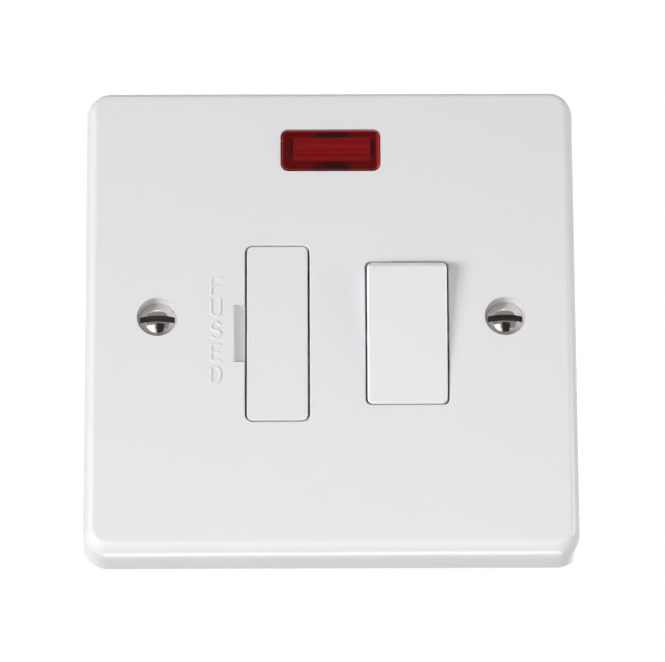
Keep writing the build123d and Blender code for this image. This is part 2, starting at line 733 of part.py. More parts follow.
def fuse_carrier():
    """The pull-out carrier: a flush face, two end walls and a cradle."""
    face_w = CARRIER_HOLE_W - 2 * CARRIER_GAP
    face_h = CARRIER_HOLE_H - 2 * CARRIER_END_GAP
    face = window(CARRIER_X, MECH_Z, face_w, face_h, CARRIER_CORNER_R - CARRIER_GAP)
    y_back = Y_FRONT + CARRIER_FACE
    carrier = bevel(slab(face, Y_FRONT, y_back), LIP)
    wall_w = CARRIER_HOLE_W - 2 * CARRIER_SIDE_GAP
    wall_z = FUSE_L / 2 + FUSE_END_GAP + CARRIER_END_T / 2
    for z in (MECH_Z - wall_z, MECH_Z + wall_z):
        carrier += plate_box(CARRIER_X, z, wall_w, CARRIER_END_T, y_back, Y_FUSE + CRADLE_REACH)
    grip = BARREL_R + CRADLE_GAP
    cradle = plate_box(
        CARRIER_X, MECH_Z, 2 * (grip + CRADLE_T), CRADLE_L, y_back, Y_FUSE + CRADLE_REACH
    )
    cradle -= plate_box(CARRIER_X, MECH_Z, 2 * CRADLE_REACH, CRADLE_L, Y_FUSE, HOUSING_DEPTH)
    carrier += cradle - Pos(CARRIER_X, Y_FUSE, MECH_Z) * Cylinder(grip, CRADLE_L)
    return carrier


def fuse_barrel():
    """The ceramic body of the cartridge fuse, as far as its caps."""
    return Pos(CARRIER_X, Y_FUSE, MECH_Z) * Cylinder(BARREL_R, FUSE_L - 2 * CAP_L)


def fuse_end_caps():
    """The two plated caps of the fuse, solid with the sealed ends of its body."""
    places = [Pos(CARRIER_X, Y_FUSE, z) for z in (MECH_Z - CLIP_Z, MECH_Z + CLIP_Z)]
    return together(place * Cylinder(FUSE_R, CAP_L) for place in places)


def lead_columns():
    """Where the two leads turn down from the lamp, nearest first."""
    first = LAMP_L / 2 + LAMP_PINCH_L + LEAD_STUB
    return first, first + 2 * LEAD_SPLAY


def neon_lamp():
    """The glass lamp with its flat pinch."""
    bulb = rod(Y_LAMP, NEON_Z, LAMP_R, -LAMP_L / 2, LAMP_L / 2)
    return bulb + box(
        LAMP_L / 2,
        LAMP_L / 2 + LAMP_PINCH_L,
        Y_LAMP - LAMP_PINCH_T / 2,
        Y_LAMP + LAMP_PINCH_T / 2,
        NEON_Z - 2 * LEAD_SPLAY,
        NEON_Z + 2 * LEAD_SPLAY,
    )


def bent_wire(section, route):
    """A wire of one section along straight lengths with mitred bends."""
    path = Polyline(*route)
    start = Plane(path @ 0, z_dir=path % 0)
    return sweep(start * section, path=path, transition=Transition.RIGHT)


def lead_routes():
    """The three lengths of lead: lamp to resistor, resistor to live, lamp to neutral."""
    near, far = lead_columns()
    live_lane = (LIVE_X + CARRIER_X) / 2 + 2 * LEAD_SPLAY + LEAD_R
    neutral_lane = live_lane - 3 * LEAD_SPLAY
    y_lane = (Y_INNER + Y_STRIP) / 2
    z_turn = HOUSING_TOP - HOUSING_WALL - 4 * LEAD_SPLAY
    z_lane = Z_FIXED_TIP + BLADE_ARM
    z_foot = MECH_Z - ROCKER_HOLE_H / 2
    pinch = LAMP_L / 2 + LAMP_PINCH_L
    resistor_top = z_lane - 2 * LEAD_STUB
    resistor_foot = resistor_top - RESISTOR_L
    to_resistor = [
        (pinch, Y_LAMP, NEON_Z + LEAD_SPLAY),
        (far, Y_LAMP, NEON_Z + LEAD_SPLAY),
        (far, Y_LAMP, z_turn),
        (live_lane, y_lane, z_lane),
        (live_lane, y_lane, resistor_top),
    ]
    to_live = [
        (live_lane, y_lane, resistor_foot),
        (live_lane, y_lane, MECH_Z),
        (live_lane, Y_STRIP, MECH_Z),
    ]
    to_neutral = [
        (pinch, Y_LAMP, NEON_Z - LEAD_SPLAY),
        (near, Y_LAMP, NEON_Z - LEAD_SPLAY),
        (near, Y_LAMP, z_turn + 2 * LEAD_SPLAY),
        (neutral_lane, y_lane, z_lane + 4 * LEAD_SPLAY),
        (neutral_lane, y_lane, z_foot),
        (NECK_X, y_lane, z_foot),
        (NECK_X, Y_STRIP, z_foot),
    ]
    return to_resistor, to_live, to_neutral


def neon_leads():
    """All the lengths of lead inside the unit."""
    first, second, third = [
        bent_wire(RegularPolygon(LEAD_R, 6), route) for route in lead_routes()
    ]
    return first + second + third


def neon_resistor():
    """The series resistor between the lamp and the switched live."""
    x, y, top = lead_routes()[0][-1]
    return Pos(x, y, top - RESISTOR_L / 2) * Cylinder(RESISTOR_R, RESISTOR_L)


def housing_supports():
    """Walls inside the housing that back the strips against the switch load."""
    back = Y_REAR_WALL + SEAT_GAP
    half = SUPPORT_T / 2
    left, right = LIVE_X - PAD_W / 2, NEUTRAL_X + PAD_W / 2
    walls = box(left, right, Y_BLOCK, back, Z_FIXED_TIP - half, Z_FIXED_TIP + half)
    walls += box(left, right, Y_BLOCK, back, MECH_Z - half, MECH_Z + half)
    post_right = CARRIER_X + CLIP_RISER_OFFSET + CLIP_T
    upper = MECH_Z + CLIP_Z
    walls += box(post_right - STRIP_W, post_right, Y_BLOCK, back, upper - half, upper + half)
    post_left = CARRIER_X - CLIP_RISER_OFFSET - CLIP_T
    lower = MECH_Z - CLIP_Z
    walls += box(post_left, post_left + STRIP_W, Y_BLOCK, back, lower - half, lower + half)
    return walls


def housing_tongue():
    """The flap of the housing that closes the lamp pocket."""
    half = LENS_W / 2 + LENS_EAR_W + LENS_FLOOR_GAP + RIB_T
    top = NEON_Z + LENS_H / 2 + LENS_FLOOR_GAP + RIB_T
    return box(-half, half, Y_TONGUE, Y_TONGUE + TONGUE_T, HOUSING_TOP - HOUSING_WALL, top)


def rear_housing():
    """The cup behind the plate with its columns, supports and windows."""
    outer = slab(
        Pos(0, MECH_Z) * RectangleRounded(HOUSING_W, HOUSING_H, HOUSING_CORNER_R),
        Y_INNER,
        HOUSING_DEPTH,
    )
    cup = chamfer(outer.edges().group_by(Axis.Y)[-1], HOUSING_BEVEL)
    inner_w = HOUSING_W - 2 * HOUSING_WALL
    inner_h = HOUSING_H - 2 * HOUSING_WALL
    cup -= plate_box(0, MECH_Z, inner_w, inner_h, Y_INNER - PASS, Y_REAR_WALL)
    cup += housing_supports() + housing_tongue()
    for x, z in COLUMNS:
        y_column = -CLAMP_BOSS_SETBACK
        cup += plate_box(x, z, COLUMN_W, COLUMN_W, y_column, Y_REAR_WALL + SEAT_GAP)
        cup -= inner_pin(x, z, CLAMP_SHANK_R + CLAMP_WELL_GAP, -PLATE_DEPTH, HOUSING_DEPTH)
        cup -= inner_pin(x, z, CLAMP_WELL_R, COLUMN_SEAT, HOUSING_DEPTH + PASS)
    for x, z in terminal_places().values():
        cup -= plate_box(x, z, WINDOW_W, WINDOW_H, Y_REAR_WALL - PASS, HOUSING_DEPTH + PASS)
    half = WINDOW_W / 2
    for x in (-BLOCK_X, 0, BLOCK_X):
        for z in (HOUSING_BOTTOM, HOUSING_TOP):
            cup -= box(
                x - half, x + half, Y_WAY - half, Y_WAY + half, z - HOUSING_WALL, z + HOUSING_WALL
            )
    return cup - lead_pass()


def clamp_screw(x, z):
    """A cheese-head screw that clamps the housing to the plate."""
    head = inner_pin(x, z, CLAMP_HEAD_R, COLUMN_SEAT, COLUMN_SEAT + CLAMP_HEAD_H)
    return head + inner_pin(x, z, CLAMP_SHANK_R, COLUMN_SEAT - CLAMP_LENGTH, COLUMN_SEAT)


def together(shapes):
    """Several separate solids as one node."""
    return Compound(children=[solid for shape in shapes for solid in shape.solids()])


def pieces():
    """Every node of the unit by name."""
    nodes = {
        "front_plate": front_plate(),
        "fixing_screws": together(fixing_screw(x) for x in (-FIX_X, FIX_X)),
        "neon_lens": neon_lens(),
        "rocker": rocker(),
        "supply_live_strip": supply_live_strip(),
        "supply_neutral_strip": supply_neutral_strip(),
        "live_link": live_link(),
        "neutral_link": neutral_link(),
        "load_live_clip": load_live_clip(),
        "earth_link": earth_link(),
        "terminal_screws": together(grub_screw(*at) for at in terminal_places().values()),
        "fuse_carrier": fuse_carrier(),
        "fuse_barrel": fuse_barrel(),
        "fuse_end_caps": fuse_end_caps(),
        "neon_lamp": neon_lamp(),
        "neon_resistor": neon_resistor(),
        "neon_leads": together([neon_leads()]),
        "rear_housing": rear_housing(),
        "housing_screws": together(clamp_screw(x, z) for x, z in COLUMNS),
    }
    for name, (x, z) in terminal_places().items():
        nodes[name] = terminal(x, z)
    for pole, offset in (("live", -POLE_OFFSET), ("neutral", POLE_OFFSET)):
        nodes[f"{pole}_plunger"] = plunger(offset)
        nodes[f"{pole}_plunger_spring"] = plunger_spring(offset)
        nodes[f"{pole}_moving_contact"] = moving_contact(ROCKER_X + offset)
        nodes[f"{pole}_moving_tip"] = moving_tip(ROCKER_X + offset)
        nodes[f"{pole}_fixed_tip"] = fixed_tip(ROCKER_X + offset)
    return nodes


def main():
    """Write one STEP file for each node."""
    os.makedirs("parts", exist_ok=True)
    for name, shape in pieces().items():
        export_step(shape, f"parts/{name}.step")


main()
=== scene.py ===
"""Fused spur unit: finishes, fasteners, lettering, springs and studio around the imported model."""

import logging
import math
from collections.abc import Iterable, Sequence
from dataclasses import dataclass, field
from enum import Enum

import bmesh
import bpy
from mathutils import Matrix, Vector


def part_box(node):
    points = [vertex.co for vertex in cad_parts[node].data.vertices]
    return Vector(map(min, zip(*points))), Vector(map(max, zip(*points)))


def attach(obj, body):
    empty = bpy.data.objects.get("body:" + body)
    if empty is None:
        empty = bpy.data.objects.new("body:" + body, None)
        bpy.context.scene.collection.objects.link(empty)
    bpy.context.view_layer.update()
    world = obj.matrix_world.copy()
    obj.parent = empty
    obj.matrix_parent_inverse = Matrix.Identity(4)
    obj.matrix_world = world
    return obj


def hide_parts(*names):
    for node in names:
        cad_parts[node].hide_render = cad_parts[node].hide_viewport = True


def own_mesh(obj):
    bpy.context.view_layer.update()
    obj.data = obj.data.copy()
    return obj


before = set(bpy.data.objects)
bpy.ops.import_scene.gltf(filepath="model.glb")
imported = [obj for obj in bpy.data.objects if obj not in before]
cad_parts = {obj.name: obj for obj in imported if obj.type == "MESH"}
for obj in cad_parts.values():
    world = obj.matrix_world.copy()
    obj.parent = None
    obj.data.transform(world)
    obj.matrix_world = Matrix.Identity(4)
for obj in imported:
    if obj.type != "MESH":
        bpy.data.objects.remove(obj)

# Sizes of the unit are in millimetres and become metres with MM. The studio is laid out in metres.
MM = 0.001
# Spots closer than this, in metres, are one spot.
WELD = 2e-7
# Angles in degrees: edges from CREASE up stay sharp, on turned pieces from TURNED_CREASE up.
CREASE = 50.0
TURNED_CREASE = 35.0
# Faces that lean less than this from each other, in degrees, are one flat.
FLAT = 0.3
# The cutter of a driver slot runs this far past the head, in millimetres.
OVERRUN = 2.0
# Capitals are drawn on a grid this wide and high.
LETTER_WIDE = 5
LETTER_HIGH = 8

Pair = tuple[float, float]
Triple = tuple[float, float, float]
Rgb = tuple[float, float, float]
# A band is a middle, a half width and the width of its soft border.
Band = tuple[float, float, float]
Profile = Sequence[Pair]
Socket = bpy.types.NodeSocket
Material = bpy.types.Material
Mesh = bpy.types.Mesh

log = logging.getLogger("spur_unit")


class Body(Enum):
    """The fixed and moving bodies that made pieces are put on."""

    FIXED = "body"
    ROCKER = "rocker"
    LIVE_PLUNGER = "live_plunger"
    NEUTRAL_PLUNGER = "neutral_plunger"
    CARRIER = "carrier"


class Slot(Enum):
    """The material slots that the record names."""

    WHITE = "white_moulding"
    GREY = "grey_moulding"
    LENS = "red_lens"
    NICKEL = "nickel_plate"
    ZINC = "zinc_steel"
    BRASS = "terminal_brass"
    COPPER = "contact_copper"
    SILVER = "contact_silver"
    NYLON = "nylon"
    SPRING = "spring_steel"
    CERAMIC = "fuse_ceramic"
    GLASS = "lamp_glass"
    RESISTOR = "resistor_body"
    SLEEVING = "lead_sleeving"


class Wiring:
    """A node tree that nodes are added to and joined in."""

    def __init__(self, tree: bpy.types.NodeTree) -> None:
        """Take the tree to be wired."""
        self.tree = tree

    def add(self, kind: str, inputs: dict | None = None, **settings: object) -> bpy.types.Node:
        """Add one node.

        Args:
            kind: Blender's name for the node.
            inputs: What goes into its sockets, by name or number: a value or another socket.
            settings: Properties of the node itself.

        Returns:
            The new node.
        """
        node = self.tree.nodes.new(kind)
        for name, value in settings.items():
            setattr(node, name, value)
        for key, value in (inputs or {}).items():
            self.feed(node.inputs[key], value)
        return node

    def out(self, kind: str, inputs: dict | None = None, **settings: object) -> Socket:
        """Add one node and take its first outlet."""
        return self.add(kind, inputs, **settings).outputs[0]

    def feed(self, socket: Socket, value: object) -> None:
        """Join another socket to this one, or set its value.

        Args:
            socket: The socket that is fed.
            value: A socket, a number, a vector, or a colour of three parts.
        """
        if isinstance(value, Socket):
            self.tree.links.new(value, socket)
        elif socket.type == "RGBA":
            socket.default_value = (*value, 1.0)
        else:
            socket.default_value = value

    def place(self) -> Socket:
        """Where each spot of a surface lies on its piece."""
        return self.add("ShaderNodeTexCoord").outputs["Object"]

    def math(self, operation: str, first: object, second: object = 0.0) -> Socket:
        """The outcome of a sum on two values or sockets."""
        return self.out("ShaderNodeMath", {0: first, 1: second}, operation=operation)

    def noise(self, vector: object, scale: object, detail: float) -> Socket:
        """A cloudy value between 0 and 1 at the given scale."""
        return self.out("ShaderNodeTexNoise", {"Vector": vector, "Scale": scale, "Detail": detail})

    def blend(self, share: object, low: object, high: object) -> Socket:
        """A colour between two, by a share that changes over the surface."""
        return self.add("ShaderNodeMix", {0: share, 6: low, 7: high}, data_type="RGBA").outputs[2]

    def ramp(self, value: object, start: float, end: float) -> Socket:
        """A share that grows from 0 to 1 while a value goes from start to end."""
        return self.out("ShaderNodeMapRange", {"Value": value, "From Min": start, "From Max": end})

    def relief(self, height: Socket, depth: float, strength: float) -> Socket:
        """A normal that follows a height, with its depth in millimetres."""
        return self.out("ShaderNodeBump", {"Strength": strength, "Distance": depth * MM, "Height": height})

    def about(self, middle: object, spread: object, value: object) -> Socket:
        """A middle value moved up and down by a share of itself.

        Args:
            middle: The value where the cloud is half way.
            spread: Share of the middle that the whole cloud covers.
            value: A cloudy value between 0 and 1.

        Returns:
            The socket with the moved value.
        """
        swing = self.math("MULTIPLY", self.math("SUBTRACT", value, 0.5), spread)
        return self.math("MULTIPLY", middle, self.math("ADD", swing, 1.0))

    def within(self, value: object, middle: float, half: float, blur: float) -> Socket:
        """A mask that is 1 near a place and falls to 0 beyond a half width.

        Args:
            value: The measure that is tested.
            middle: Where the mask is centred.
            half: Half of the masked width.
            blur: Width of the soft border.

        Returns:
            The socket with the mask.
        """
        off = self.math("ABSOLUTE", self.math("SUBTRACT", value, middle))
        ends = {"Value": off, "From Min": half + blur / 2, "From Max": half - blur / 2}
        return self.out("ShaderNodeMapRange", ends, interpolation_type="SMOOTHSTEP")

    def seen(self) -> Socket:
        """A mask for what the eye, gloss and clear pieces show.

        Returns:
            The socket with the mask.
        """
        ray = self.add("ShaderNodeLightPath").outputs
        shown = self.math("MAXIMUM", ray["Is Camera Ray"], ray["Is Glossy Ray"])
        return self.math("MAXIMUM", shown, ray["Is Transmission Ray"])


class Group(Wiring):
    """A node group with named inputs and outputs."""

    def __init__(self, name: str, kind: str, inputs: dict[str, str], outputs: dict[str, str]) -> None:
        """Make the group.

        Args:
            name: The group's name.
            kind: ShaderNodeTree or GeometryNodeTree.
            inputs: Kind of socket for each input.
            outputs: Kind of socket for each output.
        """
        super().__init__(bpy.data.node_groups.new(name, kind))
        face = self.tree.interface
        self.keys = {
            label: face.new_socket(label, in_out="INPUT", socket_type=f"NodeSocket{made}").identifier
            for label, made in inputs.items()
        }
        for label, made in outputs.items():
            face.new_socket(label, in_out="OUTPUT", socket_type=f"NodeSocket{made}")
        self.given = self.add("NodeGroupInput").outputs
        self.result = self.add("NodeGroupOutput").inputs


def surface_group(name: str, extra: str, kind: str) -> Group:
    """A group for a surface, with the inlets and outlets that every finish has.

    Args:
        name: The group's name.
        extra: The one inlet that only this surface has.
        kind: That inlet's kind of socket.

    Returns:
        The group, with its outlets still open.
    """
    inlets = {"Tint": "Color", "Spread": "Float", "Polish": "Float", extra: kind}
    outlets = {"Color": "Color", "Roughness": "Float", "Height": "Float"}
    return Group(name, "ShaderNodeTree", inlets, outlets)


def join_outlets(group: Group, stain: Socket, wear: Socket, swing: float, height: Socket) -> Group:
    """Join the outlets of a surface group.

    Args:
        group: The group.
        stain: The cloud that shifts the tint.
        wear: The cloud that shifts the polish.
        swing: Share of the polish that its cloud covers.
        height: The relief.

    Returns:
        The same group.
    """
    given, result = group.given, group.result
    value = group.about(1.0, given["Spread"], stain)
    tinted = group.out("ShaderNodeHueSaturation", {"Color": given["Tint"], "Value": value})
    group.feed(result["Color"], tinted)
    group.feed(result["Roughness"], group.about(given["Polish"], swing, wear))
    group.feed(result["Height"], height)
    return group


def moulded_skin() -> Group:
    """The faint mottle, uneven polish and orange peel of a moulded surface.

    Returns:
        The shader group.
    """
    group = surface_group("moulded_skin", "Grain", "Float")
    place = group.place()
    cloud = group.noise(place, scale=38.0, detail=2.0)
    peel = group.noise(place, scale=group.given["Grain"], detail=2.0)
    return join_outlets(group, stain=cloud, wear=cloud, swing=0.35, height=peel)


def drawn_metal() -> Group:
    """The fine lines and slight stain of drawn, stamped or turned metal.

    Returns:
        The shader group.
    """
    group = surface_group("drawn_metal", "Stretch", "Vector")
    place = group.place()
    drawn = group.out("ShaderNodeMapping", {"Vector": place, "Scale": group.given["Stretch"]})
    lines = group.noise(drawn, scale=1.0, detail=3.0)
    stain = group.noise(place, scale=160.0, detail=3.0)
    return join_outlets(group, stain=stain, wear=lines, swing=0.6, height=lines)


SKIN = moulded_skin()
LINES = drawn_metal()


def blank_material(name: str) -> tuple[Material, Wiring, bpy.types.Node]:
    """A new material.

    Args:
        name: The material's name.

    Returns:
        The material, its wiring and its main shader.
    """
    material = bpy.data.materials.new(name)
    material.use_nodes = True
    return material, Wiring(material.node_tree), material.node_tree.nodes["Principled BSDF"]


def surfaced(
    name: str, group: Group, settings: dict[str, object], depth: float, strength: float
) -> tuple[Material, bpy.types.Node]:
    """A material with the colour, polish and relief of a surface group.

    Args:
        name: The material's name.
        group: The surface group.
        settings: The group's inputs by name.
        depth: Depth of the relief in millimetres.
        strength: How much of the relief shows.

    Returns:
        The material and its main shader.
    """
    material, wiring, shader = blank_material(name)
    skin = wiring.add("ShaderNodeGroup", node_tree=group.tree)
    for label, value in settings.items():
        wiring.feed(skin.inputs[label], value)
    wiring.feed(shader.inputs["Base Color"], skin.outputs["Color"])
    wiring.feed(shader.inputs["Roughness"], skin.outputs["Roughness"])
    wiring.feed(shader.inputs["Normal"], wiring.relief(skin.outputs["Height"], depth, strength))
    return material, shader


@dataclass(frozen=True)
class Moulding:
    """A moulded or fired surface: plastic, nylon, ceramic or sleeving."""

    name: str
    tint: Rgb
    polish: float
    spread: float
    grain: float
    depth: float
    strength: float = 0.6

    def make(self) -> Material:
        """The finish as a material.

        Returns:
            The new material.
        """
        settings = {"Tint": self.tint, "Spread": self.spread, "Polish": self.polish, "Grain": self.grain}
        return surfaced(self.name, SKIN, settings, self.depth, self.strength)[0]


@dataclass(frozen=True)
class Metal:
    """A bare or plated metal with drawing lines along one axis."""

    name: str
    tint: Rgb
    polish: float
    spread: float
    stretch: Triple = (2500.0, 2500.0, 160.0)
    depth: float = 0.006
    strength: float = 0.5

    def make(self) -> Material:
        """The finish as a material.

        Returns:
            The new material.
        """
        settings = {"Tint": self.tint, "Spread": self.spread, "Polish": self.polish, "Stretch": self.stretch}
        material, shader = surfaced(self.name, LINES, settings, self.depth, self.strength)
        shader.inputs["Metallic"].default_value = 1.0
        return material


@dataclass(frozen=True)
class RedWindow:
    """Red polished plastic over a ribbed hollow: painted light in the lighter middle, painted shade in the
    dark border, a painted highlight on the rim.

    Its bands lie across and up the plate, in millimetres.
    """

    name: str = "red_window"
    border: Rgb = (0.098, 0.003, 0.003)
    # Painted shade: the darkest red, laid in blotches round the hollow.
    painted_shade_red: Rgb = (0.030, 0.005, 0.005)
    # Painted light over the hollow runs from the first red up to the second, on the ribs, the smear and the
    # light streak.
    middle: Rgb = (0.160, 0.003, 0.004)
    painted_light_red: Rgb = (0.270, 0.009, 0.012)
    # Painted highlight on the rim, and its dimmer colour at the left end of the rim.
    edge: Rgb = (0.380, 0.008, 0.011)
    dim_rim_highlight: Rgb = (0.190, 0.004, 0.005)
    dim_from: float = -8.2
    dim_to: float = -7.2
    hollow: tuple[Band, Band] = ((0.2, 6.75, 0.35), (31.05, 2.2, 0.35))
    inside_lip: tuple[Band, Band] = ((-0.1, 8.1, 0.3), (30.7, 3.6, 0.3))
    # Where the painted shade lies: beside the hollow, above and below it, broken into blotches by a cloud.
    shade_beside_hollow: tuple[Band, Band] = ((0.35, 7.35, 0.5), (31.25, 1.6, 1.0))
    shade_above_and_below: Band = (0.2, 3.0, 1.4)
    level: Band = (31.05, 2.2, 0.3)
    # A painted light streak and a painted shade streak across the middle.
    painted_light_streak: Band = (31.67, 0.20, 0.45)
    painted_shade_streak: Band = (30.0, 0.16, 0.40)
    shade_blotches: Pair = (0.26, 0.48)
    smear: Triple = (190.0, 190.0, 1100.0)
    rib_middle: float = 31.05
    rib_pitch: float = 0.88
    rib_depth: float = 0.10
    rib_strength: float = 0.5
    # Shares of painted light from the ribs and the smear, and of painted shade from the dark streak.
    rib_light_share: float = 0.25
    smear_share: float = 0.55
    shade_streak_share: float = 0.35
    shade_blotch_scale: float = 260.0
    polish: float = 0.30
    wear: float = 0.4
    gloss: float = 0.12
    coat_polish: float = 0.04

    def make(self) -> Material:
        """The finish as a material.

        Returns:
            The new material.
        """
        material, wiring, shader = blank_material(self.name)
        place = wiring.place()
        split = wiring.add("ShaderNodeSeparateXYZ", {0: place})
        spot = [wiring.math("DIVIDE", split.outputs[axis], MM) for axis in (0, 2)]
        hollow, inside, ends = (
            wiring.math("MULTIPLY", wiring.within(spot[0], *wide), wiring.within(spot[1], *high))
            for wide, high in (self.hollow, self.inside_lip, self.shade_beside_hollow)
        )
        smeared = wiring.out("ShaderNodeMapping", {"Vector": place, "Scale": self.smear})
        streak = wiring.noise(smeared, scale=1.0, detail=3.0)
        # The border with its painted shade, and the middle with its painted light.
        shaded_border = self.border_with_painted_shade(wiring, place, spot, ends)
        ribs = self.ribs(wiring, spot[1])
        inner = self.middle_with_painted_light(wiring, spot[1], ribs, streak)
        # The rim's colour is a painted highlight, dimmer at its left end.
        lip = wiring.blend(wiring.ramp(spot[0], self.dim_from, self.dim_to), self.dim_rim_highlight, self.edge)
        colour = wiring.blend(inside, lip, wiring.blend(hollow, shaded_border, inner))
        height = wiring.math("MULTIPLY", ribs, hollow)
        wiring.feed(shader.inputs["Base Color"], colour)
        wiring.feed(shader.inputs["Roughness"], wiring.about(self.polish, self.wear, streak))
        wiring.feed(shader.inputs["Normal"], wiring.relief(height, self.rib_depth, self.rib_strength))
        wiring.feed(shader.inputs["Specular IOR Level"], self.gloss)
        wiring.feed(shader.inputs["Coat Weight"], 1.0)
        wiring.feed(shader.inputs["Coat Roughness"], self.coat_polish)
        return material

    def border_with_painted_shade(self, wiring: Wiring, place: Socket, spot: list[Socket], ends: Socket) -> Socket:
        """The border's red, with painted shade in blotches above, below and beside the hollow.

        Args:
            wiring: The material's wiring.
            place: Where a spot lies on the window.
            spot: The same across and up, in millimetres.
            ends: The mask of the painted shade beside the hollow.

        Returns:
            The socket with the colour.
        """
        bars = wiring.within(spot[0], *self.shade_above_and_below)
        level = wiring.within(spot[1], *self.level)
        shade_mask = wiring.out("ShaderNodeMix", {0: level, 2: bars, 3: ends})
        shade_blotch = wiring.ramp(wiring.noise(place, self.shade_blotch_scale, 2.0), *self.shade_blotches)
        return wiring.blend(wiring.math("MULTIPLY", shade_mask, shade_blotch), self.border, self.painted_shade_red)

    def ribs(self, wiring: Wiring, upward: Socket) -> Socket:
        """The ribs behind the window, as a height between 0 and 1.

        Args:
            wiring: The material's wiring.
            upward: Height up the plate in millimetres.

        Returns:
            The socket with the height.
        """
        phase = wiring.math("SUBTRACT", upward, self.rib_middle)
        wave = wiring.math("SINE", wiring.math("MULTIPLY", phase, 2 * math.pi / self.rib_pitch))
        return wiring.math("ADD", wiring.math("MULTIPLY", wave, 0.5), 0.5)

    def middle_with_painted_light(self, wiring: Wiring, upward: Socket, ribs: Socket, streak: Socket) -> Socket:
        """The red over the hollow, lit with painted light on the ribs and smeared across, with a painted
        light streak and a painted shade streak.

        Args:
            wiring: The material's wiring.
            upward: Height up the plate in millimetres.
            ribs: The height of the ribs.
            streak: The smeared cloud.

        Returns:
            The socket with the colour.
        """
        # Painted light from the ribs and the light streak, painted shade from the dark streak.
        glow = wiring.within(upward, *self.painted_light_streak)
        shade_streak_mask = wiring.within(upward, *self.painted_shade_streak)
        lit = wiring.math("ADD", wiring.math("MULTIPLY", ribs, self.rib_light_share), glow)
        lit = wiring.math("MULTIPLY", lit, streak)
        lit = wiring.math("ADD", wiring.math("MULTIPLY", streak, self.smear_share), lit)
        lit = wiring.math("SUBTRACT", lit, wiring.math("MULTIPLY", shade_streak_mask, self.shade_streak_share))
        return wiring.blend(lit, self.middle, self.painted_light_red)


@dataclass(frozen=True)
class Glass:
    """The lamp's thin glass, very slightly wavy."""

    name: str = "lamp_glass"
    tint: Rgb = (0.95, 0.93, 0.90)
    clear: float = 0.85
    polish: float = 0.06
    wear: float = 0.6
    wave_scale: float = 400.0
    wave_depth: float = 0.02
    wave_strength: float = 0.3

    def make(self) -> Material:
        """The finish as a material.

        Returns:
            The new material.
        """
        material, wiring, shader = blank_material(self.name)
        wave = wiring.noise(wiring.place(), self.wave_scale, 1.0)
        wiring.feed(shader.inputs["Roughness"], wiring.about(self.polish, self.wear, wave))
        wiring.feed(shader.inputs["Normal"], wiring.relief(wave, self.wave_depth, self.wave_strength))
        wiring.feed(shader.inputs["Base Color"], self.tint)
        wiring.feed(shader.inputs["Transmission Weight"], self.clear)
        return material


@dataclass(frozen=True)
class Banded:
    """The resistor's lacquer with its rings of colour along Z."""

    low: float
    high: float
    name: str = "banded_lacquer"
    lacquer: Rgb = (0.46, 0.33, 0.20)
    rings: tuple[tuple[float, Rgb], ...] = (
        (0.18, (0.20, 0.08, 0.03)),
        (0.34, (0.02, 0.02, 0.02)),
        (0.50, (0.62, 0.36, 0.02)),
        (0.78, (0.50, 0.36, 0.12)),
    )
    width: float = 0.08
    polish: float = 0.32
    wear: float = 0.4
    mottle_scale: float = 1200.0
    mottle_depth: float = 0.02
    mottle_strength: float = 0.4

    def make(self) -> Material:
        """The finish as a material.

        Returns:
            The new material.
        """
        material, wiring, shader = blank_material(self.name)
        place = wiring.place()
        height = wiring.add("ShaderNodeSeparateXYZ", {0: place}).outputs[2]
        ramp = wiring.add("ShaderNodeValToRGB", {0: wiring.ramp(height, self.low, self.high)})
        steps = ramp.color_ramp
        steps.interpolation = "CONSTANT"
        steps.elements[1].position = 1.0
        for element in steps.elements:
            element.color = (*self.lacquer, 1.0)
        for start, tint in self.rings:
            steps.elements.new(start).color = (*tint, 1.0)
            steps.elements.new(start + self.width).color = (*self.lacquer, 1.0)
        mottle = wiring.noise(place, self.mottle_scale, 2.0)
        wiring.feed(shader.inputs["Base Color"], ramp.outputs[0])
        wiring.feed(shader.inputs["Roughness"], wiring.about(self.polish, self.wear, mottle))
        wiring.feed(shader.inputs["Normal"], wiring.relief(mottle, self.mottle_depth, self.mottle_strength))
        return material


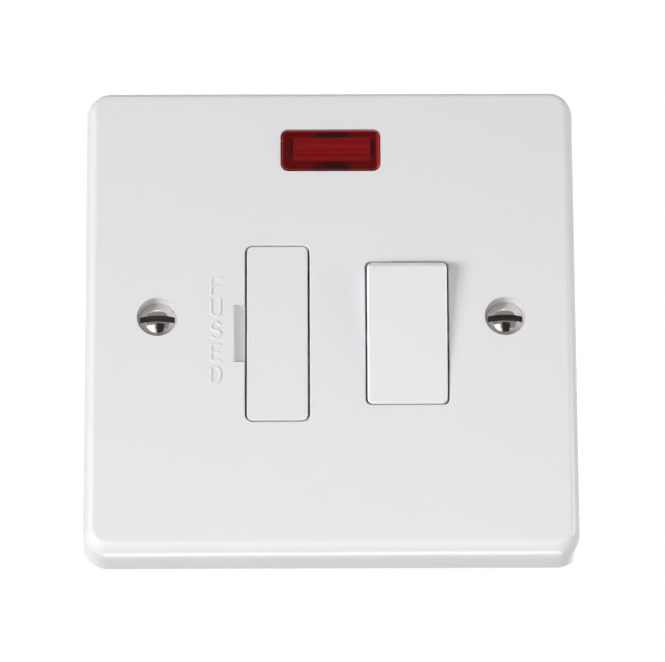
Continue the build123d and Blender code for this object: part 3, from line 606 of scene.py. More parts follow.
def make_finishes() -> dict[Slot, Material]:
    """Make every finish of the unit.

    Returns:
        The materials by the slot that each fills.
    """
    low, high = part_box("neon_resistor")
    wanted = {
        Slot.WHITE: Moulding(
            "white_moulding", (0.790, 0.790, 0.805), polish=0.22, spread=0.012, grain=700.0, depth=0.006
        ),
        Slot.GREY: Moulding(
            "grey_moulding", (0.42, 0.43, 0.44), polish=0.42, spread=0.06, grain=900.0, depth=0.030
        ),
        Slot.LENS: RedWindow(),
        Slot.NICKEL: Metal(
            "nickel_plate", (0.74, 0.69, 0.67), polish=0.11, spread=0.10, stretch=(2200.0, 2200.0, 2200.0),
            depth=0.004
        ),
        Slot.ZINC: Metal(
            "zinc_steel", (0.60, 0.61, 0.62), polish=0.28, spread=0.20, stretch=(900.0, 2600.0, 900.0)
        ),
        Slot.BRASS: Metal("terminal_brass", (0.72, 0.50, 0.20), polish=0.26, spread=0.16),
        Slot.COPPER: Metal(
            "contact_copper", (0.74, 0.40, 0.22), polish=0.30, spread=0.18, stretch=(2500.0, 2500.0, 120.0)
        ),
        Slot.SILVER: Metal("contact_silver", (0.84, 0.83, 0.80), polish=0.20, spread=0.08),
        Slot.NYLON: Moulding(
            "nylon", (0.70, 0.66, 0.56), polish=0.40, spread=0.04, grain=800.0, depth=0.015
        ),
        Slot.SPRING: Metal(
            "spring_steel", (0.50, 0.50, 0.52), polish=0.22, spread=0.10, stretch=(3000.0, 300.0, 3000.0)
        ),
        Slot.CERAMIC: Moulding(
            "fuse_ceramic", (0.72, 0.69, 0.62), polish=0.45, spread=0.08, grain=1600.0, depth=0.030
        ),
        Slot.GLASS: Glass(),
        Slot.RESISTOR: Banded(low.z, high.z),
        Slot.SLEEVING: Moulding(
            "lead_sleeving", (0.62, 0.60, 0.55), polish=0.50, spread=0.05, grain=1800.0, depth=0.020
        ),
    }
    return {slot: finish.make() for slot, finish in wanted.items()}


def mesh_object(name: str, data: bpy.types.ID) -> bpy.types.Object:
    """Put a mesh, curve, lamp or camera in the scene as an object at the origin.

    Args:
        name: The object's name.
        data: What it shows.

    Returns:
        The new object.
    """
    obj = bpy.data.objects.new(name, data)
    bpy.context.scene.collection.objects.link(obj)
    return obj


def plain_mesh(work: bmesh.types.BMesh, name: str) -> Mesh:
    """Turn a working mesh into a plain one.

    Args:
        work: The working mesh, which is freed.
        name: The plain mesh's name.

    Returns:
        The plain mesh.
    """
    mesh = bpy.data.meshes.new(name)
    work.to_mesh(mesh)
    work.free()
    return mesh


def baked(obj: bpy.types.Object) -> Mesh:
    """The plain mesh of an object with its modifiers.

    Args:
        obj: The object, which is removed.

    Returns:
        The new mesh.
    """
    graph = bpy.context.evaluated_depsgraph_get()
    mesh = bpy.data.meshes.new_from_object(obj.evaluated_get(graph))
    bpy.data.objects.remove(obj)
    return mesh


def fan(start: bmesh.types.BMFace, vert: bmesh.types.BMVert, limit: float) -> set[bmesh.types.BMFace]:
    """The faces round a vertex that run on smoothly from one of them.

    Args:
        start: The face to begin at.
        vert: The vertex that the faces share.
        limit: Angle in radians from which an edge counts as sharp.

    Returns:
        The faces, with the first among them.
    """
    found, queue = {start}, [start]
    while queue:
        face = queue.pop()
        for edge in face.edges:
            if vert not in edge.verts or len(edge.link_faces) != 2:
                continue
            other = edge.link_faces[0] if edge.link_faces[1] is face else edge.link_faces[1]
            if other not in found and edge.calc_face_angle(math.pi) < limit:
                found.add(other)
                queue.append(other)
    return found


def flat_areas(work: bmesh.types.BMesh) -> dict[bmesh.types.BMFace, float]:
    """Measure the flat regions of a mesh.

    Args:
        work: The working mesh.

    Returns:
        For each face, the area of the flat region that it is part of.
    """
    areas: dict[bmesh.types.BMFace, float] = {}
    limit = math.radians(FLAT)
    for seed in work.faces:
        if seed in areas:
            continue
        region, queue = {seed}, [seed]
        while queue:
            face = queue.pop()
            for edge in face.edges:
                for other in edge.link_faces:
                    if other not in region and seed.normal.angle(other.normal, math.pi) < limit:
                        region.add(other)
                        queue.append(other)
        total = sum(face.calc_area() for face in region)
        areas.update(dict.fromkeys(region, total))
    return areas


def shaded(mesh: Mesh, crease: float = CREASE) -> Mesh:
    """Weld a mesh and give it normals that keep flats flat and rounds round.

    Args:
        mesh: The mesh, which is changed.
        crease: Angle in degrees from which an edge stays sharp.

    Returns:
        The same mesh.
    """
    old = mesh.attributes.get("custom_normal")
    if old is not None:
        mesh.attributes.remove(old)
    work = bmesh.new()
    work.from_mesh(mesh)
    bmesh.ops.remove_doubles(work, verts=work.verts, dist=WELD)
    bmesh.ops.dissolve_degenerate(work, dist=WELD, edges=work.edges)
    bmesh.ops.triangulate(work, faces=[face for face in work.faces if len(face.verts) > 4])
    work.normal_update()
    areas = flat_areas(work)
    limit = math.radians(crease)
    normals = []
    for face in work.faces:
        face.smooth = True
        for vert in face.verts:
            total = Vector()
            for other in fan(face, vert, limit):
                total += other.normal * areas[other] ** 2
            normals.append(total.normalized())
    for edge in work.edges:
        edge.smooth = len(edge.link_faces) == 2 and edge.calc_face_angle(math.pi) < limit
    work.to_mesh(mesh)
    work.free()
    mesh.normals_split_custom_set(normals)
    return mesh


def cad_copy(node: str, crease: float = CREASE) -> Mesh:
    """A welded and shaded copy of a node's mesh."""
    return shaded(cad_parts[node].data.copy(), crease)


def arc(centre: Pair, radius: float, start: float, end: float, steps: int) -> list[Pair]:
    """Points along an arc.

    Args:
        centre: The arc's middle.
        radius: Its radius.
        start: Its first angle in degrees, from the first axis towards the second.
        end: Its last angle.
        steps: Number of chords.

    Returns:
        The points, both ends among them.
    """
    angles = [math.radians(start + (end - start) * step / steps) for step in range(steps + 1)]
    return [(centre[0] + radius * math.cos(a), centre[1] + radius * math.sin(a)) for a in angles]


def lathe(profile: Profile, segments: int) -> Mesh:
    """Turn a profile about the Y axis.

    Args:
        profile: Radius and place along Y of each corner, in millimetres.
        segments: Number of faces round the turn.

    Returns:
        A closed mesh, in metres.
    """
    work = bmesh.new()
    turns = [2 * math.pi * step / segments for step in range(segments)]
    rings = [
        [
            work.verts.new((radius * MM * math.cos(turn), along * MM, radius * MM * math.sin(turn)))
            for turn in (turns if radius > 0 else turns[:1])
        ]
        for radius, along in profile
    ]
    for first, second in zip(rings, rings[1:]):
        for step in range(segments):
            after = (step + 1) % segments
            corners = [first[step % len(first)], first[after % len(first)]]
            corners += [second[after % len(second)], second[step % len(second)]]
            work.faces.new(dict.fromkeys(corners))
    bmesh.ops.recalc_face_normals(work, faces=work.faces)
    return plain_mesh(work, "turned")


def joined(meshes: Iterable[Mesh]) -> Mesh:
    """Several meshes as one.

    Args:
        meshes: The meshes, each in place.

    Returns:
        The new mesh.
    """
    work = bmesh.new()
    for mesh in meshes:
        work.from_mesh(mesh)
    return plain_mesh(work, "joined")


def ribbon(path: Profile, half: float) -> list[Pair]:
    """The outline of a stroke of even width.

    Args:
        path: The stroke's middle line.
        half: Half of its width.

    Returns:
        The corners of the outline, once round.
    """
    spots = [Vector(spot) for spot in path]
    sides: tuple[list, list] = ([], [])
    for before, spot, after in zip([spots[0], *spots], spots, [*spots[1:], spots[-1]]):
        along = (after - before).normalized()
        across = Vector((-along.y, along.x)) * half
        sides[0].append(tuple(spot + across))
        sides[1].append(tuple(spot - across))
    return sides[0] + sides[1][::-1]


def letter_loops(letter: str) -> list[list[Pair]]:
    """The outlines of a plain capital on its grid, one square to a stroke.

    Args:
        letter: D, E, F, L, N, S or U.

    Returns:
        Its outer outline, then those of its holes.
    """
    bowl = [(2.2, 2.8), (2.2, 5.2)]
    turns = arc((2.5, 5.75), 1.75, 15, 270, 22) + arc((2.5, 2.25), 1.75, 90, -165, 22)[1:]
    loops = {
        "D": [
            [(0, 0), *arc(bowl[0], 2.8, -90, 0, 8), *arc(bowl[1], 2.8, 0, 90, 8), (0, 8)],
            [(1, 1), *arc(bowl[0], 1.8, -90, 0, 8), *arc(bowl[1], 1.8, 0, 90, 8), (1, 7)],
        ],
        "E": [
            [(0, 0), (5, 0), (5, 1), (1, 1), (1, 3.6), (4.4, 3.6), (4.4, 4.6), (1, 4.6), (1, 7), (5, 7),
             (5, 8), (0, 8)],
        ],
        "F": [
            [(0, 0), (1, 0), (1, 3.5), (4.2, 3.5), (4.2, 4.5), (1, 4.5), (1, 7), (5, 7), (5, 8), (0, 8)],
        ],
        "L": [[(0, 0), (5, 0), (5, 1), (1, 1), (1, 8), (0, 8)]],
        "N": [
            [(0, 0), (1, 0), (1, 6), (3.9, 0), (5, 0), (5, 8), (4, 8), (4, 2), (1.1, 8), (0, 8)],
        ],
        "S": [ribbon(turns, 0.5)],
        "U": [ribbon([(0.5, 8.0), *arc((2.5, 2.5), 2.0, 180, 360, 16), (4.5, 8.0)], 0.5)],
    }
    return loops[letter]


def lettering(letter: str, width: float, height: float, stand: float) -> Mesh:
    """One raised letter about the origin, facing the room, with its edges broken.

    Args:
        letter: The letter.
        width: Its whole width in millimetres.
        height: Its whole height in millimetres.
        stand: How far it stands up, in millimetres.

    Returns:
        The mesh, with its back on y = 0.
    """
    edge = stand / 3
    curve = bpy.data.curves.new("letter", "CURVE")
    curve.dimensions, curve.fill_mode = "2D", "BOTH"
    for loop in letter_loops(letter):
        spline = curve.splines.new("POLY")
        spline.points.add(len(loop) - 1)
        for point, (x, y) in zip(spline.points, loop):
            point.co = (x * width / LETTER_WIDE * MM, y * height / LETTER_HIGH * MM, 0.0, 1.0)
        spline.use_cyclic_u = True
    curve.extrude = (stand / 2 - edge) * MM
    curve.bevel_depth = edge * MM
    curve.bevel_resolution = 1
    curve.offset = -edge * MM
    mesh = baked(mesh_object("letter", curve))
    spots = [vert.co for vert in mesh.vertices]
    low = Vector([min(spot[axis] for spot in spots) for axis in range(3)])
    size = Vector([max(spot[axis] for spot in spots) for axis in range(3)]) - low
    fitted = Matrix.Diagonal((width * MM / size.x, height * MM / size.y, stand * MM / size.z, 1))
    centred = Matrix.Translation(-low - Vector((size.x / 2, size.y / 2, 0)))
    mesh.transform(Matrix.Rotation(math.pi / 2, 4, "X") @ fitted @ centred)
    return mesh


def geometry_group(name: str, inputs: dict[str, str]) -> Group:
    """A group that makes pieces on places.

    Args:
        name: The group's name.
        inputs: Kind of socket for each input beside the places and the finish.

    Returns:
        The group, with its outlet still open.
    """
    inlets = {"Places": "Geometry", **inputs, "Finish": "Material"}
    return Group(name, "GeometryNodeTree", inlets, {"Pieces": "Geometry"})


def stand_on_places(group: Group, piece: Socket) -> Group:
    """Stand a piece on every place, make the pieces real and give them the finish.

    Args:
        group: The group, which ends here.
        piece: The piece about the origin.

    Returns:
        The same group.
    """
    given = group.given
    spread = group.out("GeometryNodeInstanceOnPoints", {"Points": given["Places"], "Instance": piece})
    real = group.out("GeometryNodeRealizeInstances", {"Geometry": spread})
    done = group.out("GeometryNodeSetMaterial", {"Geometry": real, "Material": given["Finish"]})
    group.feed(group.result["Pieces"], done)
    return group


def wound(group: Group, radius: Socket, wire: Socket, steps: int, sides: int) -> Socket:
    """A wire wound along Y from the origin, by the group's turns and length.

    Args:
        group: The group, with the inputs Turns and Length.
        radius: Radius of the wire's middle line.
        wire: Radius of the wire.
        steps: Points to a turn.
        sides: Sides of the wire.

    Returns:
        The socket with the coil.
    """
    given = group.given
    spiral = {"Resolution": steps, "Rotations": given["Turns"], "Height": given["Length"]}
    spiral |= {"Start Radius": radius, "End Radius": radius}
    path = group.out("GeometryNodeCurveSpiral", spiral)
    section = group.out("GeometryNodeCurvePrimitiveCircle", {"Resolution": sides, "Radius": wire})
    swept = {"Curve": path, "Profile Curve": section, "Fill Caps": True}
    coil = group.out("GeometryNodeCurveToMesh", swept)
    return group.out("GeometryNodeTransform", {"Geometry": coil, "Rotation": (-math.pi / 2, 0.0, 0.0)})


def fastener_group() -> Group:
    """Screws set out on places: a turned blank, its driver slot and its thread.

    Returns:
        The geometry group.
    """
    inputs = {"Blank": "Object", "Slot Size": "Vector", "Slot Place": "Vector"}
    inputs |= dict.fromkeys(("Core", "Ridge", "Turns", "Length", "Start"), "Float")
    group = geometry_group("slotted_fastener", inputs)
    given = group.given
    blank = group.add("GeometryNodeObjectInfo", {"Object": given["Blank"]}).outputs["Geometry"]
    cutter = group.out("GeometryNodeMeshCube", {"Size": given["Slot Size"]})
    cutter = group.out("GeometryNodeTransform", {"Geometry": cutter, "Translation": given["Slot Place"]})
    pair = {"Mesh 1": blank, "Mesh 2": cutter}
    slotted = group.out("GeometryNodeMeshBoolean", pair, operation="DIFFERENCE", solver="EXACT")
    thread = wound(group, given["Core"], given["Ridge"], 28, 6)
    start = group.out("ShaderNodeCombineXYZ", {"Y": given["Start"]})
    thread = group.out("GeometryNodeTransform", {"Geometry": thread, "Translation": start})
    whole = group.add("GeometryNodeJoinGeometry")
    for part in (slotted, thread):
        group.feed(whole.inputs[0], part)
    return stand_on_places(group, whole.outputs[0])


def set_out_group() -> Group:
    """One made piece set out on places, such as caps and moulding marks.

    Returns:
        The geometry group.
    """
    group = geometry_group("set_out", {"Blank": "Object", "Turn": "Vector"})
    given = group.given
    blank = group.add("GeometryNodeObjectInfo", {"Object": given["Blank"]}).outputs["Geometry"]
    turned = group.out("GeometryNodeTransform", {"Geometry": blank, "Rotation": given["Turn"]})
    return stand_on_places(group, turned)


def spring_group() -> Group:
    """Coil springs of round wire that stand along Y.

    Returns:
        The geometry group.
    """
    group = geometry_group("coil_spring", dict.fromkeys(("Radius", "Wire", "Turns", "Length"), "Float"))
    return stand_on_places(group, wound(group, group.given["Radius"], group.given["Wire"], 32, 10))


def grown(
    group: Group, places: Iterable[Triple], settings: dict[str, object], blank: Mesh | None = None
) -> Mesh:
    """The mesh that a geometry group makes.

    Args:
        group: The group.
        places: Where its pieces stand, in millimetres.
        settings: Its inputs by name, in metres.
        blank: The mesh that it repeats, where it has one.

    Returns:
        A plain mesh.
    """
    points = bpy.data.meshes.new("places")
    points.from_pydata([tuple(part * MM for part in place) for place in places], [], [])
    carrier = mesh_object("grown", points)
    given = dict(settings)
    if blank is not None:
        given["Blank"] = mesh_object("blank", blank)
    modifier = carrier.modifiers.new("tree", "NODES")
    modifier.node_group = group.tree
    for label, value in given.items():
        modifier[group.keys[label]] = value
    mesh = baked(carrier)
    if blank is not None:
        bpy.data.objects.remove(given["Blank"])
    return mesh


@dataclass
class Bench:
    """What the sub-assemblies share: finishes, geometry groups, and how a piece gets on its body."""

    finishes: dict[Slot, Material] = field(default_factory=make_finishes)
    fastener: Group = field(default_factory=fastener_group)
    set_out: Group = field(default_factory=set_out_group)
    spring: Group = field(default_factory=spring_group)

    def mount(self, name: str, mesh: Mesh, slot: Slot, body: Body, *nodes: str) -> bpy.types.Object:
        """Put a finished mesh on its body.

        Args:
            name: The piece's name.
            mesh: Its mesh, in place.
            slot: The record's slot for its finish.
            body: The body that it moves with.
            nodes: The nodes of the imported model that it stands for.

        Returns:
            The new object.
        """
        mesh.materials.clear()
        mesh.materials.append(self.finishes[slot])
        obj = mesh_object(name, mesh)
        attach(obj, body.value)
        if nodes:
            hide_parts(*nodes)
        log.info("%s rides on %s", name, body.value)
        return obj

    def dress(self, name: str, node: str, slot: Slot, body: Body, crease: float = CREASE) -> None:
        """Put a shaded copy of a node in the node's place."""
        self.mount(name, cad_copy(node, crease), slot, body, node)

    def keep(self, node: str, slot: Slot) -> None:
        """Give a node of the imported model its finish.

        Args:
            node: The node's name.
            slot: The slot of its finish.
        """
        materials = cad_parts[node].data.materials
        materials.clear()
        materials.append(self.finishes[slot])
        log.info("%s keeps its solid", node)

    def pin_rings(self, places: Iterable[Triple], radius: float, slot: Slot) -> Mesh:
        """Low rings, facing the wall, where pins pushed a moulding out of its tool.

        Args:
            places: The middle of each ring, in millimetres.
            radius: The rings' middle radius in millimetres.
            slot: The slot of the moulding's finish.

        Returns:
            All the rings as one shaded mesh.
        """
        low, edge, top = -0.05, 0.06, 0.1
        half, land = 0.2, 0.1
        section = [(-half, low), (-half, edge), (-land, top)]
        section += [(land, top), (half, edge), (half, low), (-half, low)]
        ring = lathe([(radius + out, up) for out, up in section], 40)
        settings = {"Turn": (0.0, 0.0, 0.0), "Finish": self.finishes[slot]}
        return shaded(grown(self.set_out, places, settings, ring))


@dataclass
class Screw:
    """A slotted screw: its turned profile, driver slot and thread, in millimetres."""

    profile: Profile
    slot_width: float
    slot_from: float
    slot_to: float
    core: float
    ridge: float
    pitch: float
    start: float
    length: float
    slot_length: float = 20.0
    segments: int = 72

    def meshes(self, bench: Bench, places: Iterable[Triple], slot: Slot) -> Mesh:
        """Make all the screws of this kind.

        Args:
            bench: What the sub-assemblies share.
            places: Where the screws stand, in millimetres.
            slot: The slot of their finish.

        Returns:
            The screws as one shaded mesh.
        """
        settings = {
            "Slot Size": (self.slot_length * MM, (self.slot_to - self.slot_from) * MM, self.slot_width * MM),
            "Slot Place": (0.0, (self.slot_from + self.slot_to) / 2 * MM, 0.0),
            "Core": self.core * MM,
            "Ridge": self.ridge * MM,
            "Turns": self.length / self.pitch,
            "Length": self.length * MM,
            "Start": self.start * MM,
            "Finish": bench.finishes[slot],
        }
        blank = lathe(self.profile, self.segments)
        return shaded(grown(bench.fastener, places, settings, blank), TURNED_CREASE)


@dataclass
class FrontPlate:
    """The white wall plate with its raised legend and its moulding marks."""

    bench: Bench
    legend: str = "FUSED"
    legend_x: float = -20.05
    legend_z: float = -2.55
    legend_pitch: float = 4.1
    legend_size: Pair = (2.0, 3.3)
    legend_stand: float = 0.22
    face_y: float = -8.9
    back_y: float = -6.3
    mark_r: float = 1.9
    marks: tuple[Pair, ...] = ((33.0, 30.0), (33.0, 12.0), (9.5, 38.5))

    def build(self) -> None:
        """Make and mount the plate, its legend and its marks."""
        self.bench.dress("plate_skin", "front_plate", Slot.WHITE, Body.FIXED)
        self.bench.mount("plate_legend", self.legend_mesh(), Slot.WHITE, Body.FIXED)
        corners = [(x * side, z * end) for x, z in self.marks for side in (-1, 1) for end in (-1, 1)]
        places = [(x, self.back_y, z) for x, z in corners]
        rings = self.bench.pin_rings(places, self.mark_r, Slot.WHITE)
        self.bench.mount("plate_pin_marks", rings, Slot.WHITE, Body.FIXED)

    def legend_mesh(self) -> Mesh:
        """The function word as upright letters in a column.

        Returns:
            All the letters as one shaded mesh.
        """
        letters = []
        middle = (len(self.legend) - 1) / 2
        for row, letter in enumerate(self.legend):
            mesh = lettering(letter, *self.legend_size, self.legend_stand)
            up = self.legend_z + (middle - row) * self.legend_pitch
            mesh.transform(Matrix.Translation(Vector((self.legend_x, self.face_y, up)) * MM))
            letters.append(mesh)
        return shaded(joined(letters))


@dataclass
class FixingScrews:
    """The two raised countersunk screws in the plate's wells."""

    bench: Bench
    spacing: float = 60.3
    head_r: float = 3.3
    rim_y: float = -6.8
    crown: float = 1.2
    rim_break: float = 0.08
    rim_top: float = 0.02
    rim_foot: float = 0.14
    rim_under: float = 0.06
    neck_r: float = 1.5
    thread_y: float = -0.55
    thread_step: float = 0.1
    thread_lead: float = 0.35
    thread_short: float = 0.95
    tip_y: float = 18.2
    tip_r: float = 1.0
    tip_l: float = 0.5
    core_r: float = 1.45
    ridge_r: float = 0.28
    pitch: float = 0.6
    slot_width: float = 1.1
    slot_depth: float = 1.0

    def build(self) -> None:
        """Make and mount both screws."""
        places = [(-self.spacing / 2, 0.0, 0.0), (self.spacing / 2, 0.0, 0.0)]
        mesh = self.screw().meshes(self.bench, places, Slot.NICKEL)
        self.bench.mount("fixing_screw_pair", mesh, Slot.NICKEL, Body.FIXED, "fixing_screws")

    def screw(self) -> Screw:
        """The screw's sizes.

        Returns:
            A screw with a domed head, a cone below it and a blunt tip.
        """
        ball = (self.head_r**2 + self.crown**2) / (2 * self.crown)
        top = self.rim_y - self.crown
        reach = math.degrees(math.asin((self.head_r - self.rim_break) / ball))
        dome = arc((0.0, top + ball), ball, -90, -90 + reach, 14)
        dome[0] = (0.0, top)
        rim = [
            (self.head_r, self.rim_y + self.rim_top),
            (self.head_r - self.rim_under, self.rim_y + self.rim_foot),
        ]
        shank = [
            (self.neck_r, self.rim_y + self.head_r - self.neck_r),
            (self.neck_r, self.thread_y),
            (self.core_r, self.thread_y + self.thread_step),
            (self.core_r, self.tip_y - self.tip_l),
            (self.tip_r, self.tip_y),
            (0.0, self.tip_y),
        ]
        return Screw(
            profile=dome + rim + shank,
            slot_width=self.slot_width,
            slot_from=top - OVERRUN,
            slot_to=top + self.slot_depth,
            core=self.core_r,
            ridge=self.ridge_r,
            pitch=self.pitch,
            start=self.thread_y + self.thread_lead,
            length=self.tip_y - self.thread_y - self.thread_short,
        )


@dataclass
class Indicator:
    """The red window with its lamp, resistor and leads."""

    bench: Bench

    def build(self) -> None:
        """Dress the window and what lies behind it."""
        self.bench.dress("indicator_window", "neon_lens", Slot.LENS, Body.FIXED)
        inner = {"neon_lamp": Slot.GLASS, "neon_resistor": Slot.RESISTOR, "neon_leads": Slot.SLEEVING}
        for node, slot in inner.items():
            self.bench.dress(f"{node}_dressed", node, slot, Body.FIXED)


@dataclass
class RockerSwitch:
    """The rocker with its plungers and springs, and the blades and buttons behind it."""

    bench: Bench
    pivot: Triple = (13.14, -5.4, -3.0)
    tilt: float = 6.0
    crease: float = 40.0
    pole_offset: float = 3.6
    spring_r: float = 1.07
    wire_r: float = 0.16
    spring_turns: float = 5.0
    spring_from: float = -3.35
    spring_to: float = 3.06
    plunger_travel: float = 0.8

    def build(self) -> None:
        """Make and mount the switch."""
        self.bench.dress("rocker_key", "rocker", Slot.WHITE, Body.ROCKER, self.crease)
        poles = (
            ("live", -self.pole_offset, Body.LIVE_PLUNGER),
            ("neutral", self.pole_offset, Body.NEUTRAL_PLUNGER),
        )
        for pole, offset, plunger_body in poles:
            self.bench.dress(f"{pole}_plunger_pin", f"{pole}_plunger", Slot.NYLON, plunger_body)
            self.spring(pole, offset)
            self.bench.keep(f"{pole}_moving_contact", Slot.COPPER)
            self.bench.keep(f"{pole}_moving_tip", Slot.SILVER)
            self.bench.keep(f"{pole}_fixed_tip", Slot.SILVER)

    def spring(self, pole: str, offset: float) -> None:
        """Coil one spring between its tube and its plunger.

        Args:
            pole: The pole's name.
            offset: How far the spring stands from the rocker's middle.
        """
        length = self.spring_to - self.spring_from
        settings = {
            "Radius": self.spring_r * MM,
            "Wire": self.wire_r * MM,
            "Turns": self.spring_turns,
            "Length": (length - 2 * self.wire_r) * MM,
            "Finish": self.bench.finishes[Slot.SPRING],
        }
        foot = (offset, self.spring_from + self.wire_r, 0.0)
        mesh = shaded(grown(self.bench.spring, [foot], settings))
        turn = Matrix.Rotation(math.radians(self.tilt), 4, "X")
        place = Matrix.Translation(Vector(self.pivot) * MM) @ turn
        mesh.transform(place)
        node = f"{pole}_plunger_spring"
        coil = self.bench.mount(f"{pole}_coil_spring", mesh, Slot.SPRING, Body.ROCKER, node)
        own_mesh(coil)


@dataclass
class FuseCarrier:
    """The pull-out carrier with its cartridge fuse."""

    bench: Bench
    axis_x: float = -9.325
    axis_y: float = -2.625
    middle_z: float = -3.0
    cap_r: float = 3.175
    cap_l: float = 6.0
    cap_edge: float = 0.45
    crimp: float = 0.12
    crimp_band: tuple[float, ...] = (1.6, 1.4, 1.1, 0.9)
    lip: float = 0.1
    fuse_l: float = 25.4

    def build(self) -> None:
        """Make and mount the carrier and the fuse."""
        self.bench.dress("carrier_drawer", "fuse_carrier", Slot.WHITE, Body.CARRIER)
        self.bench.dress("fuse_body", "fuse_barrel", Slot.CERAMIC, Body.CARRIER)
        self.bench.mount("fuse_caps", self.caps_mesh(), Slot.NICKEL, Body.CARRIER, "fuse_end_caps")

    def caps_mesh(self) -> Mesh:
        """Both caps, pressed from sheet with a rolled edge and a crimp line.

        Returns:
            The caps as one shaded mesh.
        """
        half, edge, waist = self.cap_l / 2, self.cap_edge, self.cap_r - self.crimp
        outer = [(0.0, half)] + arc((self.cap_r - edge, half - edge), edge, 90, 0, 6)
        sides = (self.cap_r, waist, waist, self.cap_r)
        crimp = [(side, up - half) for side, up in zip(sides, self.crimp_band)]
        lip = [(self.cap_r, self.lip - half), (waist, -half), (0.0, -half)]
        cap = lathe(outer + crimp + lip, 64)
        reach = (self.fuse_l - self.cap_l) / 2
        ends = []
        for side in (1, -1):
            place = (self.axis_x, self.axis_y, self.middle_z + side * reach)
            settings = {"Turn": (side * math.pi / 2, 0.0, 0.0), "Finish": self.bench.finishes[Slot.NICKEL]}
            ends.append(grown(self.bench.set_out, [place], settings, cap.copy()))
        return shaded(joined(ends), TURNED_CREASE)


@dataclass
class Wireways:
    """The brass terminals and their screws, and the strips that lead to them."""

    bench: Bench
    columns: tuple[float, ...] = (-13.0, 0.0, 13.0)
    rows: tuple[float, ...] = (18.7, -24.7)
    strips: tuple[str, ...] = (
        "supply_live_strip", "supply_neutral_strip", "live_link", "neutral_link", "load_live_clip",
        "earth_link",
    )
    screw_top: float = 20.4
    screw_tip: float = 15.95
    top_flat: float = 0.15
    top_edge: float = 0.25
    first_turn: float = 0.1
    edge_l: float = 0.4
    tip_step: float = 0.35
    thread_lead: float = 0.3
    thread_short: float = 1.3
    core_r: float = 1.75
    ridge_r: float = 0.19
    pitch: float = 0.7
    slot_width: float = 0.8
    slot_depth: float = 0.9

    def build(self) -> None:
        """Dress the terminals and strips and mount the screws."""
        for side in ("supply", "load"):
            for pole in ("live", "earth", "neutral"):
                self.bench.keep(f"{side}_{pole}_terminal", Slot.BRASS)
        for strip in self.strips:
            self.bench.keep(strip, Slot.COPPER)
        places = [(x, 0.0, z) for z in self.rows for x in self.columns]
        mesh = self.screw().meshes(self.bench, places, Slot.ZINC)
        self.bench.mount("terminal_screw_set", mesh, Slot.ZINC, Body.FIXED, "terminal_screws")

    def screw(self) -> Screw:
        """The clamping screw's sizes.

        Returns:
            A screw without a head.
        """
        profile = [
            (0.0, self.screw_top),
            (self.core_r - self.top_flat, self.screw_top),
            (self.core_r + self.first_turn, self.screw_top - self.top_edge),
            (self.core_r, self.screw_top - self.edge_l),
            (self.core_r, self.screw_tip + self.edge_l),
            (self.core_r - self.tip_step, self.screw_tip),
            (0.0, self.screw_tip),
        ]
        return Screw(
            profile=profile,
            slot_width=self.slot_width,
            slot_from=self.screw_top - self.slot_depth,
            slot_to=self.screw_top + OVERRUN,
            core=self.core_r,
            ridge=self.ridge_r,
            pitch=self.pitch,
            start=self.screw_tip + self.thread_lead,
            length=self.screw_top - self.screw_tip - self.thread_short,
        )


